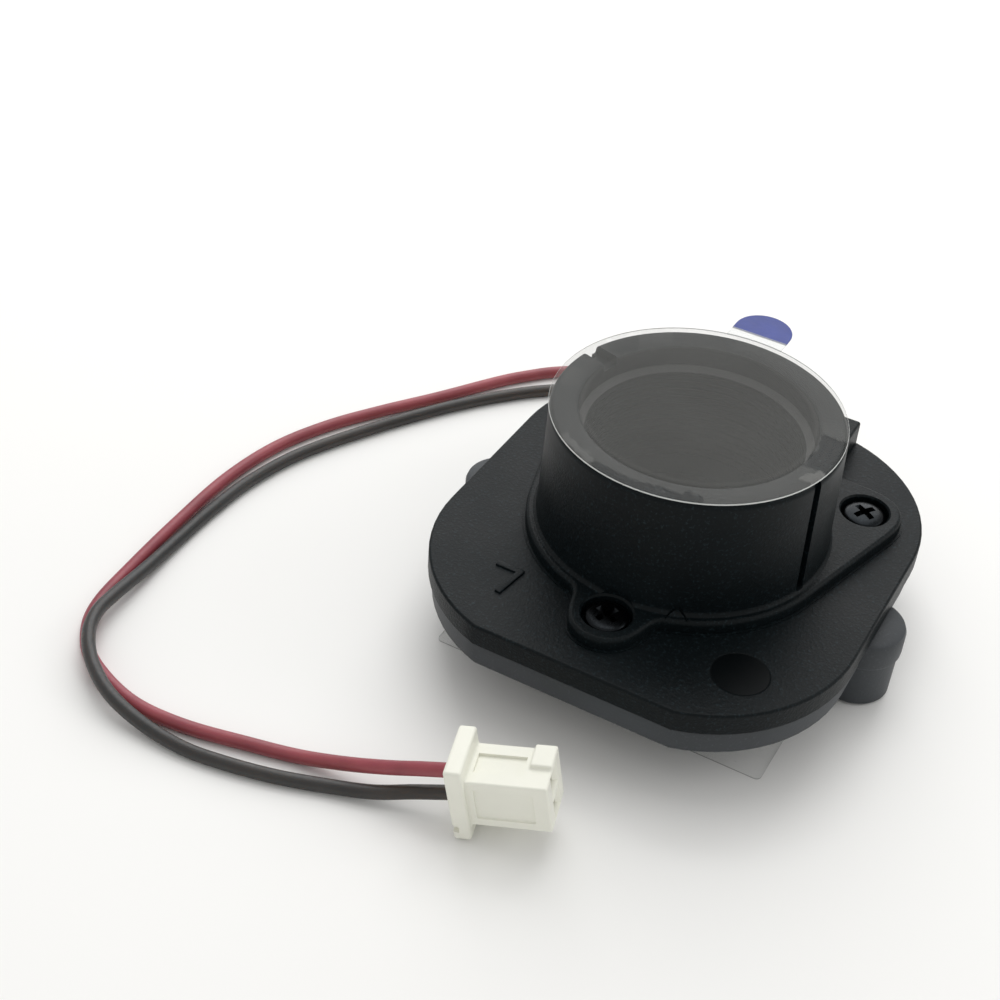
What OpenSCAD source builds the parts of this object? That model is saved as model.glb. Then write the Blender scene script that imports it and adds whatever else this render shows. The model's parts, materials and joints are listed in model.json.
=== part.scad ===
// Switching filter holder for a small camera module: a threaded lens barrel on a cover plate,
// a base with a sensor well, and a sliding filter carriage moved by a two-wire coil actuator.
// The origin is on the optical axis, at the underside of the lower film. +Z is up the barrel.

/* [Plate] */
// Half width of the plate, across the lugs
plate_half_x = 11.75; // [11.4:0.01:11.8]
// Half depth of the plate, front to back
plate_half_y = 12.88; // [12.7:0.01:13]
// Radius of the plate's four rounded corners
corner_r = 8.7; // [8.4:0.05:8.9]
// Thickness of the cover plate at its edge
plate_t = 1.35; // [1.2:0.05:1.5]
// Height of the raised pad round the barrel, above the plate
pad_rise = 0.75; // [0.6:0.05:0.9]

/* [Barrel] */
// Outer radius of the barrel at its rim
barrel_r = 7.71; // [7.4:0.01:7.8]
// Outer radius of the barrel where it meets the pad
barrel_foot_r = 7.9; // [7.8:0.05:8.1]
// Height of the rim above the resting surface
rim_z = 13.4; // [13:0.1:14]
// Wall radius of the lens thread
thread_r = 5.75; // [5.5:0.05:5.8]
// Radius of the plain mouth above the thread
mouth_r = 6.15; // [6:0.05:6.3]
// Depth of the plain mouth
mouth_depth = 1.4; // [1:0.1:1.8]

/* [Base] */
// Height of the base plate's underside
floor_z = 2.9; // [2.7:0.1:2.9]
// Thickness of the base's floor
floor_t = 0.5; // [0.4:0.05:0.5]
// Outer width of the square sensor skirt
skirt_w = 13; // [12:0.1:13.4]
// Inner width of the square sensor skirt
well_w = 11; // [10:0.1:11.4]
// Distance between the two lug holes
lug_pitch = 22; // [21.8:0.05:22.2]
// Outer radius of each lug
lug_r = 2.1; // [1.9:0.05:2.2]
// Radius of each lug's screw hole
lug_hole_r = 0.8; // [0.6:0.05:0.9]

/* [Carriage] */
// Distance between the two filters, which is the carriage's travel
filter_pitch = 6.4; // [6.3:0.05:6.5]
// Width of each filter glass
glass_x = 6; // [5.8:0.05:6]
// Depth of each filter glass
glass_y = 6.4; // [6:0.05:6.4]
// Thickness of each filter glass
glass_t = 0.3; // [0.2:0.05:0.3]

/* [Actuator] */
// Distance from the rotor's shaft to the drive pin
arm_len = 5.5; // [5.45:0.05:5.6]
// Radius of the rotor's magnet
magnet_r = 1.5; // [1.3:0.05:1.5]
// Radius of the steel shaft
shaft_r = 0.4; // [0.3:0.05:0.45]

/* [Leads] */
// Outer diameter of each insulated lead
lead_d = 0.75; // [0.6:0.05:0.8]
// Distance between the two leads in the plug
plug_pitch = 1.5; // [1.4:0.05:1.6]

/* [Hidden] */
// Sides of the tube that a lead is swept from
lead_sides = 8;
$fn = 96;
eps = 0.01;

// Levels
film_t = 0.1;
split_z = floor_z + 1.5;
floor_top = floor_z + floor_t;
plate_z = split_z + plate_t;
pad_z = plate_z + pad_rise;
pocket_z = 5.2;
hump_z = 7.25;
thread_z = rim_z - mouth_depth;
shelf_z = 6.4;

// Outline of the plate
corner_x = plate_half_x - corner_r;
corner_y = 4.54;
base_inset = 0.25;
wall_inset = 1.3;
pad_inset = 0.4;

// How much slimmer each lug is below the floor, and the web that ties it to the skirt
lug_waist = 0.15;
lug_web_w = 3.5;

// Openings on the optical axis
aperture_r = 3.4;
shelf_hole_r = 4;

// Cover screws and the pad round them
screws = [[0, -9.1], [8.25, 6.07], [-8.25, 6.07]];
boss_r = 1.3;
pad_r = 8.45;
pad_lobe_r = 2.1;
head_r = 1.14;
head_z = 5.6;
head_t = 0.84;
recess_r = 1.33;
shank_r = 0.5;
shank_bottom = 3.15;

// Back hump over the actuator
hump_half_x = 5.45;
hump_room_x = 4.9;
hump_room_z = 6.7;
hump_room_y = [8.2, 12.2];

// Keys cut down the barrel
key_angle = -16;
key_w = 0.54;
key_depth = 0.3;

// Carriage
carriage_x = filter_pitch + glass_x + 1.2;
carriage_y = 7.8;
carriage_z = 3.5;
carriage_t = 1;
window_x = glass_x - 0.8;
window_y = glass_y - 0.8;
glass_z = carriage_z + 0.3;
bezel_t = 0.3;
carriage_rest = filter_pitch / 2;
slot_half_x = 0.65;
ear_half_x = 1.15;
ear_end_y = 6.5;
ear_z = 4.1;

// Rotor, standing on its shaft
pivot = [2.3, 10];
arm_angle = asin(carriage_rest / arm_len);
pin_r = 0.35;
arm_z = 3.5;
arm_t = 0.5;
hub_r = 1.3;
sleeve_r = 0.75;
running_gap = 0.02;
magnet_top = 6.2;
shaft_top = 6.6;

// Coil, lying along X
coil_y = 10;
coil_z = 5.1;
coil_from = -4.3;
coil_to = -0.4;
flange_t = 0.35;
flange_half = 1.4;
core_half = 0.35;
barrel_tube_r = 0.75;
winding_r = 1.35;
pin_row = [9, 10.2];
pin_z = 3.95;

// Exit of the leads through the back wall
seal_box = [[-6.9, 10.9, 3.4], [-4.6, 12.75, 4.4]];
exit_black = [-6.2, 12.75, 3.85];
exit_red = [-5.3, 12.75, 3.85];

// Lower film
base_film_w = 19;

// Upper film and its tab
film_r = 7.75;
film_c = [-0.08, 0.08];
tab_x = [-1.75, 1.45];
tab_end_y = 10.6;

// Plug, standing on its narrow side with its nose a little up
plug_at = [-2.45, -19.5, 2.29];
plug_yaw = 16;
plug_pitch_up = 10;
flange_h = 4.5;
flange_w = 3.3;
flange_d = 0.9;
plug_body_h = 2.9;
plug_body_w = 2.7;
plug_len = 4.9;
cell_w = 0.8;
cell_h = 0.9;
foot_size = [0.5, 1.1, 0.3];

// Routes of the leads, from the seal to the plug
red_route = [
    exit_red, [-5.3, 13.7, 3.75], [-5.5, 14.9, 3.2], [-6.1, 16.1, 2.2], [-7.1, 17.2, 1.3],
    [-8.6, 18, 0.65], [-10.5, 18.4, 0.4], [-12.6, 18.3, 0.38], [-14.5, 17.5, 0.38],
    [-16, 16.4, 0.38], [-17.2, 15.1, 0.38], [-18.5, 13.4, 0.38], [-20.9, 9.6, 0.38],
    [-23.2, 6.2, 0.38], [-25.1, 3, 0.38], [-26.5, -0.6, 0.38], [-27.1, -4.8, 0.38],
    [-27, -9.5, 0.38], [-26.7, -14, 0.38], [-26.3, -17.4, 0.38], [-25.3, -19.5, 0.38],
    [-23.6, -21, 0.38], [-20.3, -22.2, 0.38], [-17, -22.2, 0.38], [-13.2, -21.4, 0.38],
    [-10.7, -20.8, 0.42], [-8.3, -20.35, 0.9], [-6, -20.05, 1.7], [-4.2, -19.82, 2.45],
    [-2.58, -19.54, 3.02]];
black_route = [
    exit_black, [-6.2, 13.6, 3.75], [-6.5, 14.6, 3.2], [-7.2, 15.5, 2.3], [-8.4, 16.2, 1.3],
    [-9.9, 16.5, 0.65], [-11.7, 16.3, 0.4], [-13.5, 15.5, 0.38], [-15.4, 14.3, 0.38],
    [-17.6, 12, 0.38], [-20, 8.8, 0.38], [-22.5, 4.6, 0.38], [-24.8, -0.1, 0.38],
    [-25.8, -4, 0.38], [-26.05, -7.5, 0.38], [-26, -11, 0.4], [-25.8, -14, 0.62],
    [-25.6, -16.8, 0.95], [-25.3, -18.6, 1.18], [-24.5, -20.2, 1.25], [-23, -21.7, 1.2],
    [-21, -22.8, 0.95], [-18.6, -23.3, 0.6], [-16, -23.4, 0.38], [-13.6, -23.1, 0.38],
    [-11, -22.5, 0.38], [-8.6, -21.7, 0.4], [-6.3, -20.95, 0.6], [-4.3, -20.15, 1.05],
    [-2.32, -19.46, 1.53]];

// The plate's outline, drawn in by inset
module outline(inset = 0) {
    r = corner_r - inset;
    intersection() {
        square([4 * plate_half_x, 2 * (plate_half_y - inset)], center = true);
        union() {
            square([2 * (corner_x + r), 2 * corner_y], center = true);
            square([2 * corner_x, 2 * (corner_y + r)], center = true);
            for (sx = [-1, 1], sy = [-1, 1])
                translate([sx * corner_x, sy * corner_y])
                    circle(r);
        }
    }
}

module slab(z_from, z_to) {
    translate([0, 0, z_from])
        linear_extrude(z_to - z_from)
            children();
}

module centred_box(size_x, size_y, z_from, z_to) {
    translate([-size_x / 2, -size_y / 2, z_from])
        cube([size_x, size_y, z_to - z_from]);
}

module box_between(low, high) {
    translate(low)
        cube(high - low);
}

module rod(r, z_from, z_to) {
    translate([0, 0, z_from])
        cylinder(r = r, h = z_to - z_from);
}

module at_screws() {
    for (p = screws)
        translate([p[0], p[1], 0])
            children();
}

module at_lugs() {
    for (s = [-1, 1])
        translate([s * lug_pitch / 2, 0, 0])
            children();
}

// Outline of the raised pad: a disc with a lobe round each screw
module pad_outline() {
    circle(pad_r);
    translate(screws[0])
        circle(pad_lobe_r);
    for (i = [1, 2])
        hull() {
            circle(pad_r, $fn = 64);
            translate(screws[i])
                circle(pad_lobe_r, $fn = 32);
        }
}

module base_housing() {
    color([0.3, 0.33, 0.38])
    difference() {
        union() {
            slab(floor_z, split_z)
                outline(base_inset);
            centred_box(skirt_w, skirt_w, film_t, floor_z);
            centred_box(lug_pitch, lug_web_w, film_t, floor_z);
            at_lugs() {
                rod(lug_r - lug_waist, film_t, floor_z);
                rod(lug_r, floor_z, split_z);
            }
        }
        difference() {
            slab(floor_top, split_z + eps)
                outline(wall_inset);
            at_screws()
                rod(boss_r, floor_top - eps, split_z + eps);
            guide_rails();
        }
        centred_box(well_w, well_w, film_t - eps, floor_z);
        rod(aperture_r, floor_z - eps, floor_top + eps);
        at_lugs()
            rod(lug_hole_r, film_t - eps, floor_z);
        at_screws()
            rod(shank_r + running_gap, 3.1, split_z + eps);
        translate([pivot[0], pivot[1], 0])
            rod(shaft_r, 3, floor_top + eps);
        box_between([seal_box[0][0], seal_box[0][1], floor_top], [seal_box[1][0], 14, split_z + eps]);
    }
}

// Low ribs that keep the carriage square as it slides
module guide_rails() {
    rail = 0.3;
    gap = 0.15;
    rail_end = 10.4;
    rail_top = 4;
    slot_side_end = -2.2;
    box_between([-rail_end, -carriage_y / 2 - gap - rail, floor_top - eps],
                [rail_end, -carriage_y / 2 - gap, rail_top]);
    box_between([-rail_end, carriage_y / 2 + gap, floor_top - eps],
                [slot_side_end, carriage_y / 2 + gap + rail, rail_top]);
}

module top_cover() {
    color([0.08, 0.085, 0.095])
    difference() {
        union() {
            slab(split_z, plate_z)
                outline();
            slab(plate_z, pad_z)
                intersection() {
                    pad_outline();
                    outline(pad_inset);
                }
            translate([0, 0, pad_z])
                cylinder(r1 = barrel_foot_r, r2 = barrel_r, h = rim_z - pad_z);
            slab(split_z, hump_z)
                intersection() {
                    translate([-hump_half_x, 6.5])
                        square([2 * hump_half_x, 8]);
                    outline();
                }
            numeral();
        }
        difference() {
            slab(split_z - eps, pocket_z)
                outline(wall_inset);
            at_screws()
                rod(boss_r, split_z - 2 * eps, pocket_z + eps);
        }
        box_between([-hump_room_x, hump_room_y[0], split_z - eps], [hump_room_x, hump_room_y[1], hump_room_z]);
        rod(shelf_hole_r, pocket_z - eps, shelf_z + eps);
        rod(thread_r, shelf_z, thread_z + eps);
        rod(mouth_r, thread_z, rim_z + eps);
        at_screws() {
            rod(shank_r + 0.1, split_z - eps, head_z + eps);
            rod(recess_r, head_z, pad_z + eps);
        }
        rotate(key_angle)
            translate([barrel_r - key_depth, -key_w / 2, pad_z])
                cube([2, key_w, rim_z]);
        rotate(key_angle + 180) {
            translate([barrel_r - key_depth, -key_w / 2, pad_z])
                cube([2, key_w, rim_z]);
            translate([mouth_r - 0.3, -key_w, rim_z - 0.5])
                cube([3, 2 * key_w, 1]);
        }
    }
}

// A single raised cavity number, made of two bars
module numeral() {
    bar = 0.36;
    rise = 0.12;
    translate([-6.9, -8.25, plate_z - eps])
        cube([1.6, bar, rise + eps]);
    translate([-5.95, -10.1, plate_z - eps])
        rotate(-8)
            cube([bar, 2.1, rise + eps]);
}

module filter_carriage() {
    color([0.12, 0.12, 0.13])
    translate([carriage_rest, 0, 0])
    difference() {
        union() {
            centred_box(carriage_x, carriage_y, carriage_z, carriage_z + carriage_t);
            box_between([pivot[0] - ear_half_x, 3, ear_z],
                        [pivot[0] + ear_half_x, ear_end_y, carriage_z + carriage_t]);
        }
        for (s = [-1, 1])
            translate([s * filter_pitch / 2, 0, 0]) {
                centred_box(window_x, window_y, carriage_z - eps, glass_z + eps);
                centred_box(glass_x, glass_y, glass_z, carriage_z + carriage_t + eps);
            }
        box_between([pivot[0] - slot_half_x, 4, ear_z - 1],
                    [pivot[0] + slot_half_x, ear_end_y - 0.5, ear_z + 1]);
    }
}

module glass_pane(x) {
    translate([x, 0, 0])
        centred_box(glass_x, glass_y, glass_z, glass_z + glass_t);
}

module ir_cut_filter() {
    color([0.45, 0.75, 0.7, 0.5])
        glass_pane(carriage_rest - filter_pitch / 2);
}

module clear_filter() {
    color([0.85, 0.9, 0.95, 0.4])
        glass_pane(carriage_rest + filter_pitch / 2);
}

module filter_bezels() {
    color([0.2, 0.2, 0.21])
    for (s = [-1, 1])
        translate([carriage_rest + s * filter_pitch / 2, 0, 0])
            difference() {
                centred_box(glass_x, glass_y, glass_z + glass_t, glass_z + glass_t + bezel_t);
                centred_box(window_x, window_y, glass_z, glass_z + 1);
            }
}

// The arm starts turned towards +X, at one end of its swing
module rotor_arm() {
    color([0.15, 0.15, 0.16])
    translate([pivot[0], pivot[1], 0])
    rotate(arm_angle)
    difference() {
        union() {
            rod(hub_r, arm_z, arm_z + arm_t);
            rod(sleeve_r, arm_z, magnet_top);
            box_between([-0.45, -arm_len, arm_z], [0.45, 0, arm_z + arm_t]);
            translate([0, -arm_len, 0])
                rod(0.45, arm_z, arm_z + arm_t);
            translate([0, -arm_len, 0])
                rod(pin_r, arm_z, carriage_z + carriage_t);
        }
        rod(shaft_r + running_gap, arm_z - eps, magnet_top + eps);
    }
}

module rotor_magnet() {
    color([0.5, 0.5, 0.52])
    translate([pivot[0], pivot[1], 0])
    difference() {
        rod(magnet_r, arm_z + arm_t, magnet_top);
        rod(sleeve_r, arm_z, magnet_top + eps);
    }
}

module rotor_shaft() {
    color([0.8, 0.8, 0.82])
    translate([pivot[0], pivot[1], 0])
        rod(shaft_r, 3, shaft_top);
}

module along_x(x_from, x_to) {
    translate([x_from, coil_y, coil_z])
        rotate([0, 90, 0])
            linear_extrude(x_to - x_from)
                children();
}

module coil_bobbin() {
    color([0.9, 0.9, 0.88])
    difference() {
        union() {
            along_x(coil_from, coil_to)
                circle(barrel_tube_r);
            for (x = [coil_from, coil_to - flange_t])
                along_x(x, x + flange_t)
                    square(2 * flange_half, center = true);
        }
        along_x(coil_from - eps, coil_to + eps)
            square(2 * core_half + 2 * running_gap, center = true);
        for (y = pin_row)
            translate([coil_from - eps, y, pin_z])
                rotate([0, 90, 0])
                    cylinder(r = 0.2, h = 0.25);
    }
}

module coil_winding() {
    color([0.72, 0.38, 0.15])
    along_x(coil_from + flange_t, coil_to - flange_t)
        difference() {
            circle(winding_r);
            circle(barrel_tube_r);
        }
}

// Part of a ring round the rotor, between two angles less than half a turn apart
module pole_shoe(middle) {
    shoe_in = magnet_r + 0.25;
    shoe_out = shoe_in + 0.4;
    translate([pivot[0], pivot[1], coil_z - 0.5])
    rotate(middle)
    linear_extrude(1)
        intersection() {
            difference() {
                circle(shoe_out);
                circle(shoe_in);
            }
            translate([0, -1.2])
                square([4, 2.4]);
        }
}

module stator_yoke() {
    color([0.55, 0.56, 0.58])
    union() {
        along_x(-4.85, pivot[0] - magnet_r - 0.45)
            square(2 * core_half, center = true);
        box_between([-4.85, coil_y - core_half, coil_z - core_half], [-4.5, 11.9, coil_z + core_half]);
        box_between([-4.85, 11.6, coil_z - core_half], [4.45, 11.9, coil_z + core_half]);
        box_between([4.1, coil_y - core_half, coil_z - core_half], [4.45, 11.9, coil_z + core_half]);
        pole_shoe(0);
        pole_shoe(180);
    }
}

module terminal_pins() {
    color([0.8, 0.7, 0.4])
    for (y = pin_row)
        translate([-5.6, y, pin_z])
            rotate([0, 90, 0])
                cylinder(r = 0.2, h = coil_from + 0.24 + 5.6);
}

module inner_leads() {
    stub_r = 0.3;
    color([0.55, 0.2, 0.25])
    translate([exit_red[0], seal_box[0][1], pin_z])
        rotate([90, 0, 0])
            cylinder(r = stub_r, h = seal_box[0][1] - pin_row[1] - 0.2);
    color([0.2, 0.2, 0.2])
    union() {
        translate([exit_black[0], seal_box[0][1], pin_z])
            rotate([90, 0, 0])
                cylinder(r = stub_r, h = seal_box[0][1] - pin_row[0]);
        translate([exit_black[0], pin_row[0], pin_z])
            sphere(stub_r);
        translate([exit_black[0], pin_row[0], pin_z])
            rotate([0, 90, 0])
                cylinder(r = stub_r, h = -5.6 - exit_black[0]);
    }
}

module lead_seal() {
    color([0.75, 0.75, 0.72])
        box_between(seal_box[0], seal_box[1]);
}

module cover_screws() {
    color([0.1, 0.1, 0.1])
    at_screws()
    difference() {
        union() {
            rod(shank_r, shank_bottom, head_z);
            rod(head_r, head_z, head_z + head_t);
        }
        for (a = [0, 90])
            rotate(a + 30)
                centred_box(1.3, 0.26, head_z + head_t - 0.4, head_z + head_t + eps);
    }
}

module sensor_gasket() {
    color([0.15, 0.15, 0.15])
    difference() {
        centred_box(well_w, well_w, floor_z - 0.5, floor_z);
        centred_box(8.4, 8.4, floor_z - 1, floor_z + eps);
    }
}

module lens_film() {
    color([0.55, 0.58, 0.6, 0.5])
    translate([film_c[0], film_c[1], 0])
        rod(film_r, rim_z, rim_z + film_t);
}

module film_tab() {
    tab_r = (tab_x[1] - tab_x[0]) / 2;
    color([0.25, 0.3, 0.65])
    slab(rim_z, rim_z + film_t)
    difference() {
        union() {
            translate([tab_x[0], 7])
                square([2 * tab_r, tab_end_y - tab_r - 7]);
            translate([tab_x[0] + tab_r, tab_end_y - tab_r])
                circle(tab_r);
        }
        translate(film_c)
            circle(film_r);
    }
}

module base_film() {
    color([0.8, 0.82, 0.85, 0.5])
        centred_box(base_film_w, base_film_w, 0, film_t);
}

// One tube, swept along a smooth curve through the route's points
function step_in(pts, i) = pts[min(max(i, 0), len(pts) - 1)];
function curve_at(pts, i, t) =
    let (a = step_in(pts, i - 1), b = pts[i], c = step_in(pts, i + 1), d = step_in(pts, i + 2))
    0.5 * (2 * b + (c - a) * t + (2 * a - 5 * b + 4 * c - d) * t * t
        + (3 * b - a - 3 * c + d) * t * t * t);
function smooth_route(pts) = concat(
    [for (i = [0 : len(pts) - 2]) each (norm(pts[i + 1] - pts[i]) > 2.95
        ? [pts[i], curve_at(pts, i, 0.5)] : [pts[i]])],
    [pts[len(pts) - 1]]);
function unit(v) = v / norm(v);
function heading(pts, i) = unit(step_in(pts, i + 1) - step_in(pts, i - 1));
function ring_at(p, dir, r) =
    let (side = unit(cross([0, 0, 1], dir)), top = cross(dir, side))
    [for (k = [0 : lead_sides - 1])
        let (a = 360 * (k + 0.5) / lead_sides)
        p + r * (cos(a) * side + sin(a) * top)];
module lead(route, r) {
    pts = smooth_route(route);
    n = len(pts);
    m = lead_sides;
    rings = [for (i = [0 : n - 1]) each ring_at(pts[i], heading(pts, i), r)];
    sides = [for (i = [0 : n - 2], k = [0 : m - 1])
        [i * m + k, (i + 1) * m + k, (i + 1) * m + (k + 1) % m, i * m + (k + 1) % m]];
    start = [[for (k = [0 : m - 1]) k]];
    end = [[for (k = [m - 1 : -1 : 0]) (n - 1) * m + k]];
    polyhedron(points = rings, faces = concat(sides, start, end), convexity = 10);
}

module lead_red() {
    color([0.62, 0.25, 0.33])
        lead(red_route, lead_d / 2);
}

module lead_black() {
    color([0.22, 0.22, 0.22])
        lead(black_route, lead_d / 2);
}

module at_plug() {
    translate(plug_at)
        rotate([0, 0, plug_yaw])
            rotate([0, -plug_pitch_up, 0])
                children();
}

// Local X runs from the flange to the nose, and the two leads lie one above the other
module connector_housing() {
    color([0.93, 0.93, 0.87])
    at_plug()
    difference() {
        union() {
            translate([0, -flange_w / 2, -flange_h / 2])
                cube([flange_d, flange_w, flange_h]);
            translate([0, -plug_body_w / 2, -plug_body_h / 2])
                cube([plug_len, plug_body_w, plug_body_h]);
            translate([plug_len - 1.1, -0.1, -plug_body_h / 2])
                cube([1.1, plug_body_w / 2 + 0.1, plug_body_h + 0.25]);
            translate([flange_d - eps, -foot_size[1] / 2, -plug_body_h / 2 - foot_size[2]])
                cube([foot_size[0], foot_size[1], foot_size[2] + eps]);
        }
        for (s = [-1, 1])
            translate([-eps, -cell_w / 2, s * plug_pitch / 2 - cell_h / 2])
                cube([plug_len + 1, cell_w, cell_h]);
    }
}

module crimp_contacts() {
    color([0.82, 0.78, 0.6])
    at_plug()
    for (s = [-1, 1])
        translate([0.4, -cell_w / 2 + 0.05, s * plug_pitch / 2 - cell_h / 2 + 0.05])
            difference() {
                cube([plug_len - 1, cell_w - 0.1, cell_h - 0.1]);
                translate([1.6, 0.15, 0.15])
                    cube([plug_len, cell_w - 0.4, cell_h - 0.4]);
            }
}

base_housing();
top_cover();
filter_carriage();
ir_cut_filter();
clear_filter();
filter_bezels();
rotor_arm();
rotor_magnet();
rotor_shaft();
coil_bobbin();
coil_winding();
stator_yoke();
terminal_pins();
inner_leads();
lead_seal();
cover_screws();
sensor_gasket();
lens_film();
film_tab();
base_film();
lead_red();
lead_black();
connector_housing();
crimp_contacts();
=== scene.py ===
"""Looks of the filter switching lens holder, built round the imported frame."""

import json
import logging
import math
from dataclasses import dataclass, field
from enum import Enum
from typing import Sequence

import bmesh
import bpy
from mathutils import Matrix, Vector

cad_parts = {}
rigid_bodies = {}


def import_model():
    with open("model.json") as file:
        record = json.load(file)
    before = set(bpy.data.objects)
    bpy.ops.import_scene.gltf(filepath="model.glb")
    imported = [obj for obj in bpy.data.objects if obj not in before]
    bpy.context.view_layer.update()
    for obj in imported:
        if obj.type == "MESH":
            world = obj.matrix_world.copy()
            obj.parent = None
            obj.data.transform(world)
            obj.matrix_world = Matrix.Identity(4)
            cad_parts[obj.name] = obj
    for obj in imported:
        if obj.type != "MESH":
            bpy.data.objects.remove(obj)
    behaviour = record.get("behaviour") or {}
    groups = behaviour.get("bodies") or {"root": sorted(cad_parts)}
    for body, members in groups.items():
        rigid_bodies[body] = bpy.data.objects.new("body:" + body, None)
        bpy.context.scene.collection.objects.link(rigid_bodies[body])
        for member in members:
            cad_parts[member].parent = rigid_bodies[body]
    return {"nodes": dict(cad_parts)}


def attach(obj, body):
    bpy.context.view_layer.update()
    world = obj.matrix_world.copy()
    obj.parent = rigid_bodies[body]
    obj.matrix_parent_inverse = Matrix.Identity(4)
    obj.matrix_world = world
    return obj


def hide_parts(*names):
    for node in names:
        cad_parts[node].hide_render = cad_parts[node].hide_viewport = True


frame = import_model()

LOG = logging.getLogger("lens_holder")
MM = 0.001
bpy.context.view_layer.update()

Point = tuple[float, float, float]
Flat = tuple[float, float]
Colour = tuple[float, float, float]


class Body(str, Enum):
    """The rigid bodies of the frame."""

    ROOT = "root"
    CARRIAGE = "carriage"
    ROTOR = "rotor"
    FILM = "upper_film"


class Shape(str, Enum):
    """How one solid acts on another."""

    JOIN = "UNION"
    CUT = "DIFFERENCE"


# ---------------------------------------------------------------- modelling by hand


def deselect_all() -> None:
    """Leaves object mode with nothing selected."""
    if bpy.context.mode != "OBJECT":
        bpy.ops.object.mode_set(mode="OBJECT")
    for item in bpy.context.view_layer.objects:
        if item.visible_get():
            item.select_set(False)


def take(piece: bpy.types.Object) -> None:
    """Makes one piece the only selected and active one.

    Args:
        piece: the object to work on.
    """
    deselect_all()
    piece.select_set(True)
    bpy.context.view_layer.objects.active = piece


def edit(piece: bpy.types.Object) -> None:
    """Opens one piece in edit mode."""
    take(piece)
    bpy.ops.object.mode_set(mode="EDIT")


def ring_start(name: str, points: Sequence[Point], filled: bool) -> bpy.types.Object:
    """Adds a circle primitive and lays its vertices on the points.

    Args:
        name: the piece's name.
        points: places in millimetres, in order round the ring.
        filled: whether the ring is closed by a face.

    Returns:
        The new object, in object mode.
    """
    deselect_all()
    fill = "NGON" if filled else "NOTHING"
    bpy.ops.mesh.primitive_circle_add(vertices=len(points), radius=MM, fill_type=fill)
    piece = bpy.context.active_object
    piece.name = name
    piece.data.name = name
    for vertex, point in zip(piece.data.vertices, points):
        vertex.co = Vector(point) * MM
    return piece


def tidy_mesh(piece: bpy.types.Object, merge: float = 0.001) -> None:
    """Merges doubled vertices and turns every face outwards.

    Args:
        piece: the mesh.
        merge: the merging distance in millimetres.
    """
    edit(piece)
    bpy.ops.mesh.select_all(action="SELECT")
    bpy.ops.mesh.remove_doubles(threshold=merge * MM)
    bpy.ops.mesh.normals_make_consistent(inside=False)
    bpy.ops.object.mode_set(mode="OBJECT")


def loft(name: str, rings: Sequence[Sequence[Point]]) -> bpy.types.Object:
    """Extrudes a filled ring from place to place.

    Args:
        name: the piece's name.
        rings: rings of equally many points, in millimetres.

    Returns:
        The lofted solid.
    """
    piece = ring_start(name, rings[0], filled=True)
    edit(piece)
    bpy.ops.mesh.select_all(action="SELECT")
    for before, after in zip(rings, rings[1:]):
        bpy.ops.mesh.extrude_region_move()
        mesh = bmesh.from_edit_mesh(piece.data)
        old = [Vector(point) * MM for point in before]
        for vertex in mesh.verts:
            if vertex.select:
                nearest = min(range(len(old)), key=lambda i: (old[i] - vertex.co).length)
                vertex.co = Vector(after[nearest]) * MM
        bmesh.update_edit_mesh(piece.data)
    bpy.ops.object.mode_set(mode="OBJECT")
    tidy_mesh(piece)
    return piece


def prism(name: str, outline: Sequence[Flat], low: float, high: float) -> bpy.types.Object:
    """Extrudes a flat outline upwards.

    Args:
        name: the piece's name.
        outline: corners in millimetres, in order.
        low: height of the underside.
        high: height of the top.

    Returns:
        The prism.
    """
    piece = ring_start(name, [(x, y, low) for x, y in outline], filled=True)
    edit(piece)
    bpy.ops.mesh.select_all(action="SELECT")
    move = {"value": (0, 0, (high - low) * MM)}
    bpy.ops.mesh.extrude_region_move(TRANSFORM_OT_translate=move)
    bpy.ops.object.mode_set(mode="OBJECT")
    tidy_mesh(piece)
    return piece


def lathe(name: str, profile: Sequence[Flat], steps: int = 96) -> bpy.types.Object:
    """Spins a closed profile once round the Z axis.

    Args:
        name: the piece's name.
        profile: radius and height of each corner, in millimetres.
        steps: how many stretches the turn has.

    Returns:
        The turned solid.
    """
    piece = ring_start(name, [(r, 0, z) for r, z in profile], filled=False)
    edit(piece)
    bpy.ops.mesh.select_all(action="SELECT")
    bpy.ops.mesh.spin(steps=steps, angle=math.tau, center=(0, 0, 0), axis=(0, 0, 1))
    bpy.ops.object.mode_set(mode="OBJECT")
    tidy_mesh(piece)
    return piece


def block(name: str, low: Point, high: Point) -> bpy.types.Object:
    """Adds a cube primitive between two corners, in millimetres.

    Args:
        name: the piece's name.
        low: its least corner.
        high: its greatest corner.

    Returns:
        The block.
    """
    deselect_all()
    centre = [(a + b) / 2 * MM for a, b in zip(low, high)]
    size = [(b - a) * MM for a, b in zip(low, high)]
    bpy.ops.mesh.primitive_cube_add(size=1, location=centre)
    piece = bpy.context.active_object
    piece.name = name
    piece.scale = size
    settle(piece)
    return piece


def settle(piece: bpy.types.Object) -> None:
    """Puts the piece's place, turn and size into its mesh."""
    take(piece)
    bpy.ops.object.transform_apply(location=True, rotation=True, scale=True)


def shift(piece: bpy.types.Object, move: Point, turn: float = 0.0) -> bpy.types.Object:
    """Turns a piece about Z and then moves it.

    Args:
        piece: the object.
        move: the move in millimetres.
        turn: degrees about the Z axis, before the move.

    Returns:
        The same object.
    """
    piece.rotation_euler = (0, 0, math.radians(turn))
    piece.location = Vector(move) * MM
    settle(piece)
    return piece


def modify(piece: bpy.types.Object, kind: str, **values: object) -> None:
    """Adds a modifier, sets it and applies it.

    Args:
        piece: the object.
        kind: the modifier's type.
        values: its settings.
    """
    take(piece)
    modifier = piece.modifiers.new(kind.lower(), kind)
    for key, value in values.items():
        setattr(modifier, key, value)
    bpy.ops.object.modifier_apply(modifier=modifier.name)


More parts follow.
